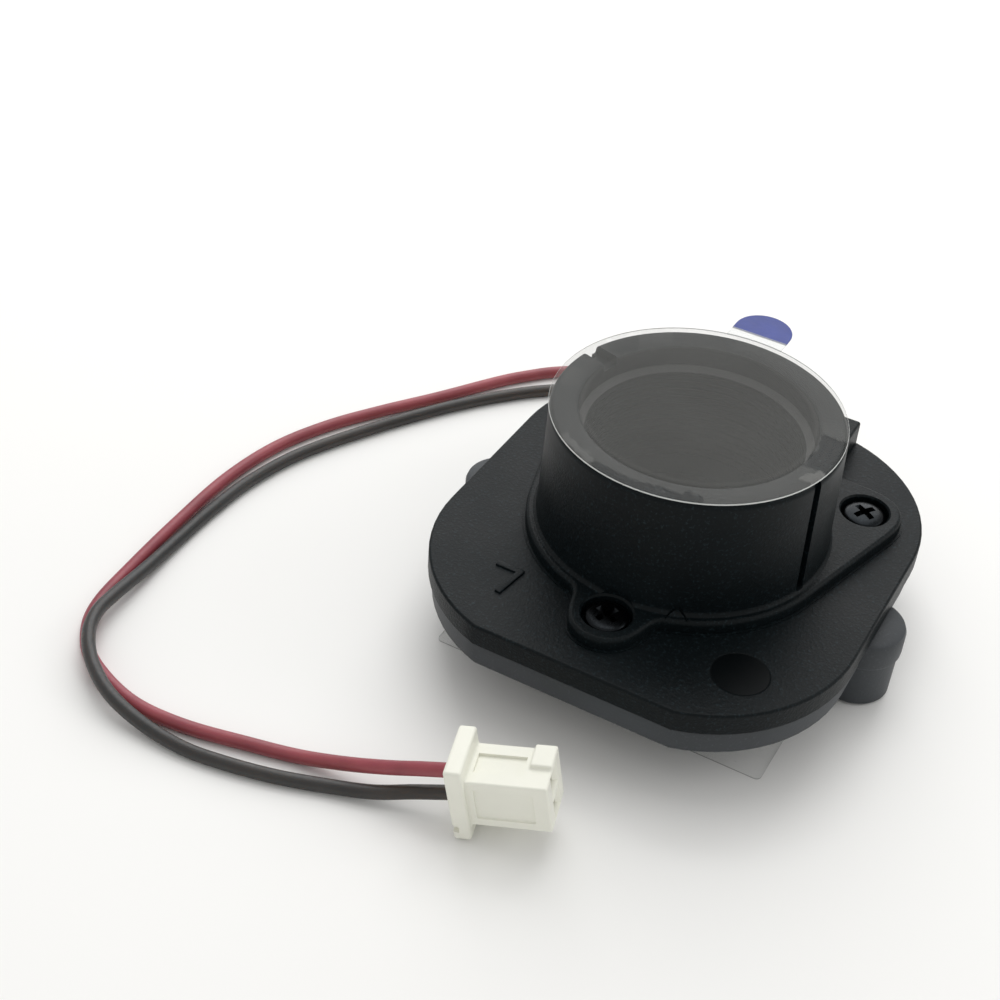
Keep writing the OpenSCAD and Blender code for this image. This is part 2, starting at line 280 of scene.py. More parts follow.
def combine(piece: bpy.types.Object, other: bpy.types.Object, how: Shape) -> None:
    """Joins another solid to a piece, or cuts it away, and removes that solid.

    Args:
        piece: the solid that stays.
        other: the solid that acts on it.
        how: join or cut.
    """
    modify(piece, "BOOLEAN", object=other, operation=how.value, solver="EXACT")
    bpy.data.objects.remove(other)


def round_edges(piece: bpy.types.Object, width: float, segments: int = 3, angle: float = 40) -> None:
    """Rounds every edge sharper than an angle.

    Args:
        piece: the object.
        width: the rounding's width in millimetres.
        segments: how many strips it has.
        angle: the least angle between faces, in degrees.
    """
    modify(
        piece,
        "BEVEL",
        width=width * MM,
        segments=segments,
        limit_method="ANGLE",
        angle_limit=math.radians(angle),
    )


def smooth(piece: bpy.types.Object, angle: float = 35) -> None:
    """Shades a piece smooth across edges flatter than an angle, with flat faces kept flat.

    Args:
        piece: the object.
        angle: the widest angle that is shaded smooth, in degrees.
    """
    take(piece)
    bpy.ops.object.shade_smooth_by_angle(angle=math.radians(angle))
    modify(piece, "WEIGHTED_NORMAL", keep_sharp=True, weight=80)


def copy_of(piece: bpy.types.Object, name: str) -> bpy.types.Object:
    """Returns a copy of a piece with a mesh of its own.

    Args:
        piece: the object that is copied.
        name: the copy's name.

    Returns:
        The copy.
    """
    twin = piece.copy()
    twin.data = piece.data.copy()
    twin.name = name
    bpy.context.scene.collection.objects.link(twin)
    return twin


def join_meshes(piece: bpy.types.Object, *others: bpy.types.Object) -> None:
    """Puts other pieces' meshes into one piece, without joining their solids.

    Args:
        piece: the piece that stays.
        others: the pieces that go into it.
    """
    take(piece)
    for other in others:
        other.select_set(True)
    bpy.ops.object.join()


# ---------------------------------------------------------------- materials


class Graph:
    """A material's node tree, with short calls for nodes and links."""

    def __init__(self, name: str) -> None:
        """Starts a material that holds a Principled shader."""
        self.material = bpy.data.materials.new(name)
        self.material.use_nodes = True
        self.nodes = self.material.node_tree.nodes
        self.links = self.material.node_tree.links
        self.shader = self.nodes["Principled BSDF"]
        self.place = self.nodes.new("ShaderNodeTexCoord").outputs["Object"]

    def node(self, kind: str, inputs: dict | None = None, **values: object) -> bpy.types.Node:
        """Adds a node.

        Args:
            kind: the node's type name without its ShaderNode prefix.
            inputs: what each input holds: a number, a colour, or another node's output.
            values: the node's own settings.

        Returns:
            The new node.
        """
        made = self.nodes.new("ShaderNode" + kind)
        for key, value in values.items():
            setattr(made, key, value)
        for key, value in (inputs or {}).items():
            self.put(made.inputs[key], value)
        return made

    def put(self, socket: bpy.types.NodeSocket, value: object) -> None:
        """Links an output to a socket, or sets the socket to a constant.

        Args:
            socket: the input.
            value: an output, a colour or a number.
        """
        if isinstance(value, bpy.types.NodeSocket):
            self.links.new(value, socket)
        elif isinstance(value, tuple) and socket.type == "RGBA" and len(value) == 3:
            socket.default_value = (*value, 1)
        else:
            socket.default_value = value

    def noise(self, period: float, detail: float = 3, rough: float = 0.5) -> bpy.types.NodeSocket:
        """Returns a noise whose lumps are about a period wide, in millimetres."""
        inputs = {"Vector": self.place, "Scale": 1 / (period * MM), "Detail": detail, "Roughness": rough}
        return self.node("TexNoise", inputs).outputs["Fac"]

    def ramp(self, value: object, stops: Sequence[tuple[float, Colour]]) -> bpy.types.NodeSocket:
        """Returns the colours of a ramp, looked up by a value.

        Args:
            value: what the ramp is looked up by.
            stops: places from 0 to 1, each with a colour.

        Returns:
            The colour.
        """
        made = self.node("ValToRGB", {"Fac": value})
        strip = made.color_ramp
        strip.elements[0].position, strip.elements[1].position = stops[0][0], stops[-1][0]
        strip.elements[0].color, strip.elements[1].color = (*stops[0][1], 1), (*stops[-1][1], 1)
        for at, colour in stops[1:-1]:
            strip.elements.new(at).color = (*colour, 1)
        return made.outputs["Color"]

    def span(self, value: object, low: float, high: float, to_low: float, to_high: float
             ) -> bpy.types.NodeSocket:
        """Maps a value from one span to another, and holds it at the ends.

        Args:
            value: the number or output that is mapped.
            low: start of the span that it comes from.
            high: end of the span that it comes from.
            to_low: what low becomes.
            to_high: what high becomes.

        Returns:
            The mapped value.
        """
        inputs = {"Value": value, "From Min": low, "From Max": high, "To Min": to_low, "To Max": to_high}
        return self.node("MapRange", inputs).outputs["Result"]

    def maths(self, operation: str, *terms: object) -> bpy.types.NodeSocket:
        """Returns the result of a Math node.

        Args:
            operation: what is worked out.
            terms: numbers or outputs, in order.

        Returns:
            The result.
        """
        made = self.node("Math", operation=operation)
        for socket, term in zip(made.inputs, terms):
            self.put(socket, term)
        return made.outputs[0]

    def blend(self, factor: object, first: object, second: object) -> bpy.types.NodeSocket:
        """Returns a mix of two colours.

        Args:
            factor: 0 for the first colour, 1 for the second.
            first: a colour or an output.
            second: a colour or an output.

        Returns:
            The mixed colour.
        """
        made = self.node("Mix", data_type="RGBA")
        self.put(made.inputs[0], factor)
        self.put(made.inputs[6], first)
        self.put(made.inputs[7], second)
        return made.outputs[2]

    def bump(self, height: object, distance: float, strength: float = 1.0) -> None:
        """Links a bump, its depth in millimetres, to the shader."""
        inputs = {"Height": height, "Distance": distance * MM, "Strength": strength}
        self.put(self.shader.inputs["Normal"], self.node("Bump", inputs).outputs["Normal"])

    def axis_offset(self) -> bpy.types.NodeSocket:
        """Returns the place with its height taken out: how it lies from the optical axis."""
        flat = self.node("VectorMath", {0: self.place, 1: (1, 1, 0)}, operation="MULTIPLY")
        return flat.outputs[0]

    def radius(self) -> bpy.types.NodeSocket:
        """Returns the distance from the optical axis, in metres."""
        return self.node("VectorMath", {0: self.axis_offset()}, operation="LENGTH").outputs["Value"]

    def level(self) -> bpy.types.NodeSocket:
        """Returns the height, in metres."""
        return self.node("SeparateXYZ", {"Vector": self.place}).outputs["Z"]

    def band(self, value: object, low: float, high: float) -> bpy.types.NodeSocket:
        """Returns 1 where a distance lies between two limits in millimetres, and 0 elsewhere."""
        return self.maths("COMPARE", value, (low + high) / 2 * MM, (high - low) / 2 * MM)

    def set(self, **inputs: object) -> None:
        """Sets the shader's inputs, named with underscores for spaces."""
        for key, value in inputs.items():
            self.put(self.shader.inputs[key.replace("_", " ")], value)


def tint(colour: Colour, factor: float) -> Colour:
    """Returns a colour made lighter or darker."""
    return tuple(min(1.0, part * factor) for part in colour)


@dataclass(frozen=True)
class MouldedPlastic:
    """Injection moulded plastic with a spark-eroded grain."""

    name: str
    colour: Colour
    grain: float = 0.11
    depth: float = 0.012
    roughness: float = 0.5
    specular: float = 0.5
    speck: float = 1.6
    polished_at: Flat | None = None
    polished_r: float = 1.5
    painted_mouth_highlight: float = 0.0
    mouth_r: float = 6.2
    ledge: float = 12.08
    ledge_half: float = 0.12
    wall: Flat = (12.3, 13.2)
    cloudy: float = 0.2

    def build(self) -> bpy.types.Material:
        """Returns the material."""
        graph = Graph(self.name)
        fine = graph.noise(self.grain, 4, 0.6)
        cloud = graph.noise(4.5, 3)
        light, dark = tint(self.colour, 1 + self.cloudy), tint(self.colour, 1 - self.cloudy)
        tone = graph.ramp(cloud, [(0.3, dark), (0.7, light)])
        specks = graph.span(fine, 0.56, 0.72, 0, 1)
        colour = graph.blend(specks, tone, tint(self.colour, self.speck))
        rough = graph.span(cloud, 0.3, 0.7, self.roughness - 0.05, self.roughness + 0.05)
        height = fine
        if self.polished_at:
            mask = self.mask(graph)
            colour = graph.blend(mask, colour, tint(self.colour, 0.45))
            rough = graph.maths("SUBTRACT", rough, graph.maths("MULTIPLY", mask, 0.12))
            height = graph.maths("MULTIPLY", fine, graph.maths("SUBTRACT", 1.0, mask))
        if self.painted_mouth_highlight:
            # Painted highlight: the bore's ledge and the wall above it are lightened towards pale grey.
            colour = graph.blend(self.mouth(graph), colour, (self.painted_mouth_highlight,) * 3)
            fade = graph.span(graph.level(), 11.9 * MM, 12.6 * MM, 1, 0.12)
            height = graph.maths("MULTIPLY", height, fade)
        graph.set(Base_Color=colour, Roughness=rough, Specular_IOR_Level=self.specular)
        graph.bump(height, self.depth)
        return graph.material

    def mouth(self, graph: Graph) -> bpy.types.NodeSocket:
        """Finds where the bore carries its painted highlight: most on the ledge over the thread, less on the
        wall above.

        Args:
            graph: the material's graph.

        Returns:
            The painted highlight's strength, from 0 to 1.
        """
        level = graph.level()
        inside = graph.maths("LESS_THAN", graph.radius(), self.mouth_r * MM)
        ledge = graph.maths("COMPARE", level, self.ledge * MM, self.ledge_half * MM)
        wall = graph.span(level, self.wall[0] * MM, self.wall[1] * MM, 0.12, 0.3)
        over_ledge = (self.ledge + self.ledge_half) * MM
        above = graph.maths("MULTIPLY", graph.maths("GREATER_THAN", level, over_ledge), wall)
        return graph.maths("MULTIPLY", inside, graph.maths("MAXIMUM", ledge, above))

    def mask(self, graph: Graph) -> bpy.types.NodeSocket:
        """Returns 1 inside the round spot where the mould is polished.

        Args:
            graph: the material's graph.

        Returns:
            The mask.
        """
        spot = (self.polished_at[0] * MM, self.polished_at[1] * MM, 0.0)
        gap = graph.node("VectorMath", {0: graph.axis_offset(), 1: spot}, operation="DISTANCE")
        edge = self.polished_r * MM
        return graph.span(gap.outputs["Value"], edge * 0.97, edge * 1.03, 1, 0)


@dataclass(frozen=True)
class Metal:
    """Bare or plated metal with fine scratches."""

    name: str
    colour: Colour
    roughness: float = 0.35
    scratch: float = 0.05
    depth: float = 0.004
    metallic: float = 1.0

    def build(self) -> bpy.types.Material:
        """Returns the material."""
        graph = Graph(self.name)
        stretch = graph.node("Mapping", {"Vector": graph.place, "Scale": (1, 0.12, 1)})
        inputs = {"Vector": stretch.outputs[0], "Scale": 1 / (self.scratch * MM), "Detail": 4}
        lines = graph.node("TexNoise", inputs).outputs["Fac"]
        cloud = graph.noise(0.9, 3)
        colour = graph.ramp(cloud, [(0.3, tint(self.colour, 0.75)), (0.7, tint(self.colour, 1.15))])
        rough = graph.span(lines, 0.3, 0.7, self.roughness - 0.08, self.roughness + 0.1)
        graph.set(Base_Color=colour, Roughness=rough, Metallic=self.metallic)
        graph.bump(lines, self.depth)
        return graph.material


@dataclass(frozen=True)
class Insulation:
    """Soft extruded insulation of a lead."""

    name: str
    colour: Colour
    roughness: float = 0.42

    def build(self) -> bpy.types.Material:
        """Returns the material."""
        graph = Graph(self.name)
        cloud = graph.noise(2.2, 3)
        fine = graph.noise(0.16, 3)
        colour = graph.ramp(cloud, [(0.3, tint(self.colour, 0.82)), (0.7, tint(self.colour, 1.15))])
        rough = graph.span(fine, 0.3, 0.7, self.roughness - 0.06, self.roughness + 0.08)
        graph.set(Base_Color=colour, Roughness=rough, Subsurface_Weight=0.05)
        graph.bump(fine, 0.01)
        return graph.material


@dataclass(frozen=True)
class ClearFilm:
    """Thin protective film with haze and dust."""

    name: str
    colour: Colour
    haze: float = 0.16
    edge: float = 0.3
    # Colour of the cut sides, a painted edge light: a pale painted highlight unless set darker.
    painted_edge_colour: Colour = (0.8, 0.82, 0.8)

    def haze_map(self, graph: Graph) -> bpy.types.NodeSocket:
        """Returns how much the film hides, from its uneven haze and its dust."""
        cloud = graph.span(graph.noise(5.5, 3), 0.3, 0.7, self.haze * 0.93, self.haze * 1.07)
        dust = graph.span(graph.noise(0.24, 1, 0.3), 0.76, 0.8, 0, 0.14)
        return graph.maths("ADD", cloud, dust)

    def cut_edge(self, graph: Graph) -> bpy.types.NodeSocket:
        """Returns 1 on the film's narrow cut sides."""
        normal = graph.node("NewGeometry").outputs["True Normal"]
        upright = graph.node("SeparateXYZ", {"Vector": normal}).outputs["Z"]
        return graph.maths("LESS_THAN", graph.maths("ABSOLUTE", upright), 0.6)

    def build(self) -> bpy.types.Material:
        """Returns the material."""
        graph = Graph(self.name)
        # The cut sides are painted: a pale painted highlight on the rim film, a dark painted edge line on
        # the under sheet.
        side = self.cut_edge(graph)
        alpha = graph.maths("MAXIMUM", self.haze_map(graph), graph.maths("MULTIPLY", side, self.edge))
        graph.set(
            Base_Color=graph.blend(side, self.colour, self.painted_edge_colour),
            Roughness=0.25,
            Alpha=alpha,
            Specular_IOR_Level=0.12,
        )
        graph.material.surface_render_method = "BLENDED"
        return graph.material


@dataclass(frozen=True)
class RimFilm(ClearFilm):
    """Film that clings to the barrel's rim in places, and stands off it in others."""

    def haze_map(self, graph: Graph) -> bpy.types.NodeSocket:
        """Adds patches on the rim, a ring at the mouth and the thread's faint rings to the haze.

        Args:
            graph: the material's graph.

        Returns:
            How much the film hides.
        """
        alpha = super().haze_map(graph)
        parts = graph.node("SeparateXYZ", {"Vector": graph.place})
        radius = graph.radius()
        rings = graph.maths("SINE", graph.maths("MULTIPLY", radius, math.tau / (0.42 * MM)))
        inside = graph.span(radius, 4.4 * MM, 6.0 * MM, 0, 0.006)
        alpha = graph.maths("ADD", alpha, graph.maths("MULTIPLY", rings, inside))
        for low, high, gain in ((5.95, 6.12, 0.02), (6.24, 6.36, -0.025)):
            ring = graph.maths("MULTIPLY", graph.band(radius, low, high), gain)
            alpha = graph.maths("ADD", alpha, ring)
        wander = graph.span(graph.noise(0.9, 3), 0.3, 0.7, -0.3 * MM, 0.3 * MM)
        shaky = graph.maths("ADD", radius, wander)
        turned = graph.maths("ARCTAN2", parts.outputs["Y"], parts.outputs["X"])
        waver = graph.span(graph.noise(1.1, 2), 0.3, 0.7, -0.06, 0.06)
        shaky_turn = graph.maths("ADD", turned, waver)
        for middle, half, inner, outer, gain in self.patches():
            turn = graph.maths("COMPARE", shaky_turn, math.radians(middle), math.radians(half))
            patch = graph.maths("MULTIPLY", turn, graph.band(shaky, inner, outer))
            change = graph.maths("MULTIPLY", patch, gain)
            alpha = graph.maths("ADD", alpha, change)
        return graph.maths("MAXIMUM", alpha, 0.02)

    @staticmethod
    def patches() -> list[tuple[float, float, float, float, float]]:
        """Returns each patch: middle angle, half angle, inner and outer radius, and change of haze."""
        return [
            (1, 12, 6.3, 7.75, -0.1),
            (20, 6, 6.3, 7.6, 0.015),
            (-15, 4, 7.0, 7.8, 0.16),
            (-88, 22, 6.9, 8.2, -0.09),
            (-120, 9, 7.1, 7.7, 0.09),
            (112, 14, 6.6, 7.8, -0.03),
            (150, 9, 6.4, 7.6, -0.035),
            (-175, 9, 6.5, 7.4, 0.03),
        ]


@dataclass(frozen=True)
class TintedFilm:
    """Coloured pull tab film."""

    name: str
    colour: Colour
    dyed_from: float = 8.45

    def build(self) -> bpy.types.Material:
        """Returns the material."""
        graph = Graph(self.name)
        cloud = graph.noise(1.2, 3)
        dyed = graph.ramp(cloud, [(0.3, tint(self.colour, 0.9)), (0.7, tint(self.colour, 1.1))])
        along = graph.node("SeparateXYZ", {"Vector": graph.place}).outputs["Y"]
        mask = graph.span(along, (self.dyed_from - 0.03) * MM, (self.dyed_from + 0.03) * MM, 0, 1)
        graph.set(
            Base_Color=graph.blend(mask, (0.75, 0.77, 0.77), dyed),
            Roughness=0.3,
            Specular_IOR_Level=0.2,
            Alpha=graph.span(mask, 0, 1, 0.25, 0.88),
        )
        graph.bump(graph.noise(0.4, 2), 0.01)
        graph.material.surface_render_method = "BLENDED"
        return graph.material


@dataclass(frozen=True)
class CoatedGlass:
    """Filter glass with a thin coating."""

    name: str
    colour: Colour
    alpha: float = 0.35

    def build(self) -> bpy.types.Material:
        """Returns the material."""
        graph = Graph(self.name)
        cloud = graph.noise(2.5, 2)
        colour = graph.ramp(cloud, [(0.3, tint(self.colour, 0.85)), (0.7, tint(self.colour, 1.1))])
        smear = graph.span(graph.noise(1.4, 3), 0.3, 0.7, 0.03, 0.09)
        graph.set(Base_Color=colour, Roughness=smear, Alpha=self.alpha, Specular_IOR_Level=0.8)
        graph.material.surface_render_method = "BLENDED"
        return graph.material


@dataclass(frozen=True)
class PorousFill:
    """Rubber or cured sealant with fine pores."""

    name: str
    colour: Colour
    cell: float = 0.18
    roughness: float = 0.85

    def build(self) -> bpy.types.Material:
        """Returns the material."""
        graph = Graph(self.name)
        inputs = {"Vector": graph.place, "Scale": 1 / (self.cell * MM)}
        cells = graph.node("TexVoronoi", inputs).outputs["Distance"]
        # Painted shade: the pores are coloured darker than the surface round them.
        colour = graph.ramp(cells, [(0.1, tint(self.colour, 0.6)), (0.6, tint(self.colour, 1.2))])
        graph.set(Base_Color=colour, Roughness=self.roughness)
        graph.bump(cells, 0.05)
        return graph.material


@dataclass(frozen=True)
class Winding:
    """Enamelled wire laid in close turns, with painted shade between the turns."""

    name: str
    colour: Colour
    wire: float = 0.08

    def build(self) -> bpy.types.Material:
        """Returns the material."""
        graph = Graph(self.name)
        inputs = {"Vector": graph.place, "Scale": 1 / (self.wire * MM * math.tau), "Distortion": 0.4}
        turns = graph.node("TexWave", inputs, bands_direction="X").outputs["Fac"]
        # Painted shade and painted highlight: the colour is darkened between the turns and lightened on
        # them.
        colour = graph.ramp(turns, [(0.1, tint(self.colour, 0.4)), (0.7, tint(self.colour, 1.2))])
        graph.set(Base_Color=colour, Roughness=0.3, Metallic=0.85, Coat_Weight=0.5)
        graph.bump(turns, 0.03)
        return graph.material


@dataclass(frozen=True)
class Paper:
    """Plain pale surface that the object stands on."""

    name: str
    colour: Colour

    def build(self) -> bpy.types.Material:
        """Returns the material."""
        graph = Graph(self.name)
        cloud = graph.noise(60, 2)
        colour = graph.ramp(cloud, [(0.3, tint(self.colour, 0.99)), (0.7, self.colour)])
        graph.set(Base_Color=colour, Roughness=0.7, Specular_IOR_Level=0.2)
        return graph.material


Finish = (MouldedPlastic | Metal | Insulation | ClearFilm | TintedFilm | CoatedGlass | PorousFill
          | Winding | Paper)

FINISHES: dict[str, Finish] = {
    "cover_plastic": MouldedPlastic("cover_black", (0.003, 0.0052, 0.0062), 0.15, 0.03, 0.42, 0.12, 4.5,
                                    (7.25, -8.75), painted_mouth_highlight=0.085),
    "base_plastic": MouldedPlastic("base_grey", (0.042, 0.047, 0.052), 0.16, 0.01, 0.5, 0.32, 1.35),
    "carriage_plastic": MouldedPlastic("carriage_black", (0.02, 0.02, 0.022), 0.12, 0.005, 0.4),
    "bezel_plastic": MouldedPlastic("bezel_black", (0.03, 0.03, 0.03), 0.1, 0.005, 0.55),
    "bobbin_plastic": MouldedPlastic("bobbin_white", (0.75, 0.75, 0.7), 0.2, 0.005, 0.45, speck=1.05),
    "plug_plastic": MouldedPlastic("plug_ivory", (0.87, 0.868, 0.775), 0.5, 0.006, 0.38, 0.35, 1.0,
                                   cloudy=0.04),
    "black_steel": Metal("screw_black", (0.016, 0.018, 0.02), 0.3, 0.06, 0.003),
    "magnet": Metal("magnet_grey", (0.3, 0.3, 0.31), 0.4),
    "steel": Metal("shaft_steel", (0.65, 0.65, 0.67), 0.25),
    "yoke_steel": Metal("yoke_steel", (0.5, 0.5, 0.52), 0.4),
    "tinned_metal": Metal("tinned", (0.75, 0.72, 0.62), 0.28),
    "copper_wire": Winding("winding_copper", (0.7, 0.27, 0.09)),
    "sealant": PorousFill("sealant_grey", (0.5, 0.5, 0.47), 0.6, 0.45),
    "gasket_rubber": PorousFill("gasket_black", (0.03, 0.03, 0.03)),
    "ir_glass": CoatedGlass("filter_tinted", (0.35, 0.75, 0.7)),
    "clear_glass": CoatedGlass("filter_clear", (0.8, 0.85, 0.9), 0.22),
    # The under sheet's last colour is the painted dark edge line on its cut sides.
    "clear_film": ClearFilm("film_lower", (0.36, 0.38, 0.37), 0.06, 0.5, (0.12, 0.12, 0.12)),
    "tab_blue": TintedFilm("tab_blue", (0.024, 0.045, 0.26)),
    "lead_red": Insulation("lead_red", (0.27, 0.04, 0.062)),
    "lead_black": Insulation("lead_black", (0.022, 0.0225, 0.023)),
}


class Paintbox:
    """Builds each finish once and hands it out."""

    def __init__(self) -> None:
        """Starts with nothing built."""
        self.made: dict[str, bpy.types.Material] = {}

    def get(self, finish: Finish) -> bpy.types.Material:
        """Returns the material of a finish."""
        if finish.name not in self.made:
            self.made[finish.name] = finish.build()
        return self.made[finish.name]

    def dress(self, piece: bpy.types.Object, finish: Finish) -> None:
        """Gives a piece one finish all over."""
        piece.data.materials.clear()
        piece.data.materials.append(self.get(finish))


PAINT = Paintbox()


def place(piece: bpy.types.Object, body: Body, slot: str, *nodes: str, finish: Finish | None = None) -> None:
    """Dresses a finished piece and fixes it to its body.

    Args:
        piece: the finished object.
        body: the body that it moves with.
        slot: the record's material slot.
        nodes: the frame's nodes that it stands for.
        finish: a finish in place of the slot's own.
    """
    PAINT.dress(piece, finish or FINISHES[slot])
    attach(piece, body.value)
    if nodes:
        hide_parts(*nodes)
    LOG.info("%s: %d faces, rides on %s", piece.name, count_faces(piece), body.value)


def count_faces(piece: bpy.types.Object) -> int:
    """Returns how many faces a mesh has, or the number of points of a curve."""
    if piece.type == "MESH":
        return len(piece.data.polygons)
    return sum(len(spline.bezier_points) for spline in piece.data.splines)


# ---------------------------------------------------------------- shared outlines


PLATE_HALF_Y = 12.88
PLATE_CORNER_R = 8.7
PLATE_CORNER: Flat = (3.05, 4.54)
PAD_R = 8.45
LOBE_R = 2.1
SCREW_PLACES: tuple[Flat, Flat, Flat] = ((0, -9.1), (8.25, 6.07), (-8.25, 6.07))
BOSS_R = 1.3


def plate_outline(inset: float = 0.0, steps: int = 14) -> list[Flat]:
    """Draws the plate: four rounded corners, clipped flat at the front and the back.

    Args:
        inset: how far the outline is drawn in, in millimetres.
        steps: stretches in each corner.

    Returns:
        The corners, in order round the plate.
    """
    half_y, corner_r = PLATE_HALF_Y - inset, PLATE_CORNER_R - inset
    corner_x, corner_y = PLATE_CORNER
    last = math.asin((half_y - corner_y) / corner_r)
    turns = [last * i / steps for i in range(steps + 1)]
    quarter = [(corner_x + corner_r * math.cos(a), corner_y + corner_r * math.sin(a)) for a in turns]
    upper = quarter + [(-x, y) for x, y in reversed(quarter)]
    return upper + [(-x, -y) for x, y in upper]


def reach_of_circle(angle: float, centre: Flat, radius: float) -> float:
    """Returns how far from the axis a circle reaches in one direction, or 0 if it is missed.

    Args:
        angle: the direction, in radians.
        centre: the circle's centre.
        radius: the circle's radius.

    Returns:
        The reach in millimetres.
    """
    far, toward = math.hypot(*centre), math.atan2(centre[1], centre[0])
    aside = far * math.sin(angle - toward)
    if abs(aside) > radius or math.cos(angle - toward) < 0:
        return 0.0
    return far * math.cos(angle - toward) + math.sqrt(radius**2 - aside**2)


def reach_of_hull(angle: float, centre: Flat, radius: float, disc: float) -> float:
    """Returns how far the straight flanks between a disc on the axis and a circle reach.

    Args:
        angle: the direction, in radians.
        centre: the circle's centre.
        radius: the circle's radius.
        disc: the disc's radius.

    Returns:
        The reach in millimetres, or 0 where neither flank lies.
    """
    far, toward = math.hypot(*centre), math.atan2(centre[1], centre[0])
    lean = math.acos((disc - radius) / far)
    reach = 0.0
    for side in (-1, 1):
        normal = toward + side * lean
        end_x = centre[0] + radius * math.cos(normal)
        end_y = centre[1] + radius * math.sin(normal)
        span = math.remainder(angle - normal, math.tau) * -side
        limit = math.remainder(math.atan2(end_y, end_x) - normal, math.tau) * -side
        if 0 <= span <= limit:
            reach = max(reach, disc / math.cos(angle - normal))
    return reach


def pad_outline(grow: float = 0.0, count: int = 180) -> list[Flat]:
    """Draws the raised pad: a disc with a lobe round each cover screw and a small fillet beside it.

    Args:
        grow: how far the outline is moved out, in millimetres.
        count: how many corners it has.

    Returns:
        The corners, in order round the axis.
    """
    disc, lobe = PAD_R + grow, LOBE_R + grow
    front, right, left = SCREW_PLACES
    raw = []
    for i in range(count):
        angle = math.tau * i / count
        reach = [disc, reach_of_circle(angle, front, lobe)]
        for centre in (right, left):
            reach += [reach_of_circle(angle, centre, lobe), reach_of_hull(angle, centre, lobe, disc)]
        raw.append(max(reach))
    # A five point average leaves a small fillet where a lobe meets the disc.
    soft = [(raw[i - 2] + 2 * raw[i - 1] + 3 * raw[i] + 2 * raw[(i + 1) % count] + raw[(i + 2) % count]) / 9
            for i in range(count)]
    turns = [math.tau * i / count for i in range(count)]
    return [(reach * math.cos(turn), reach * math.sin(turn)) for turn, reach in zip(turns, soft)]


# ---------------------------------------------------------------- camera, light and table


@dataclass
class Studio:
    """Camera, soft lights and the pale surface."""

    lens: float = 61.2
    azimuth: float = 26.7353
    elevation: float = 38.6613
    roll: float = 4.238
    aim: Point = (0, 0, 13.4)
    aside: float = 10.236
    below: float = 4.487
    distance: float = 87.44
    table_r: float = 900
    boxes: tuple[tuple[str, Point, float, float], ...] = (
        ("soft_box_back", (-100, 240, 205), 300, 0.6),
        ("soft_box_top", (-40, 90, 320), 220, 0.27),
        ("soft_box_right", (240, 120, 150), 150, 0.12),
    )

    def axes(self) -> tuple[Vector, Vector, Vector]:
        """Returns the camera's right, up and backward directions."""
        az, el, roll = (math.radians(v) for v in (self.azimuth, self.elevation, self.roll))
        back = Vector((math.sin(az) * math.cos(el), -math.cos(az) * math.cos(el), math.sin(el)))
        level = Vector((math.cos(az), math.sin(az), 0))
        rise = back.cross(level)
        right = level * math.cos(roll) + rise * math.sin(roll)
        return right, back.cross(right), back

    def build_camera(self) -> None:
        """Adds the camera and makes it the scene's own."""
        right, rise, back = self.axes()
        spot = Vector(self.aim) - right * self.aside - rise * self.below + back * self.distance
        deselect_all()
        bpy.ops.object.camera_add()
        camera = bpy.context.active_object
        camera.name = "camera"
        turn = Matrix((right, rise, back)).transposed().to_4x4()
        camera.matrix_world = Matrix.Translation(spot * MM) @ turn
        camera.data.lens = self.lens
        camera.data.sensor_width = 36
        camera.data.clip_start = 0.002
        camera.data.clip_end = 20
        bpy.context.scene.camera = camera

    def soft_box(self, name: str, place_at: Point, size: float, power: float) -> None:
        """Adds a square area light that faces the object.

        Args:
            name: the light's name.
            place_at: its place in millimetres.
            size: its side in millimetres.
            power: its power in watts.
        """
        deselect_all()
        bpy.ops.object.light_add(type="AREA", location=Vector(place_at) * MM)
        light = bpy.context.active_object
        light.name = name
        light.data.energy = power
        light.data.size = size * MM
        light.rotation_euler = (Vector((0, 0, 5)) - Vector(place_at)).to_track_quat("-Z", "Y").to_euler()

    def build_lights(self) -> None:
        """Adds an even pale sky and the soft boxes."""
        world = bpy.data.worlds.new("sky")
        bpy.context.scene.world = world
        world.use_nodes = True
        backdrop = world.node_tree.nodes["Background"]
        backdrop.inputs["Color"].default_value = (1.0, 1.0, 0.99, 1)
        backdrop.inputs["Strength"].default_value = 0.6
        for name, place_at, size, power in self.boxes:
            self.soft_box(name, place_at, size, power)

    def build_table(self) -> None:
        """Lays a large pale surface under the object."""
        turns = [math.tau * i / 64 for i in range(64)]
        corners = [(self.table_r * math.cos(a), self.table_r * math.sin(a), 0) for a in turns]
        table = ring_start("table", corners, filled=True)
        PAINT.dress(table, Paper("table_paper", (0.9, 0.895, 0.88)))

    def build(self) -> None:
        """Builds the camera, the lights and the surface."""
        scene = bpy.context.scene
        scene.view_settings.view_transform = "Standard"
        self.build_camera()
        self.build_lights()
        self.build_table()


# ---------------------------------------------------------------- leads


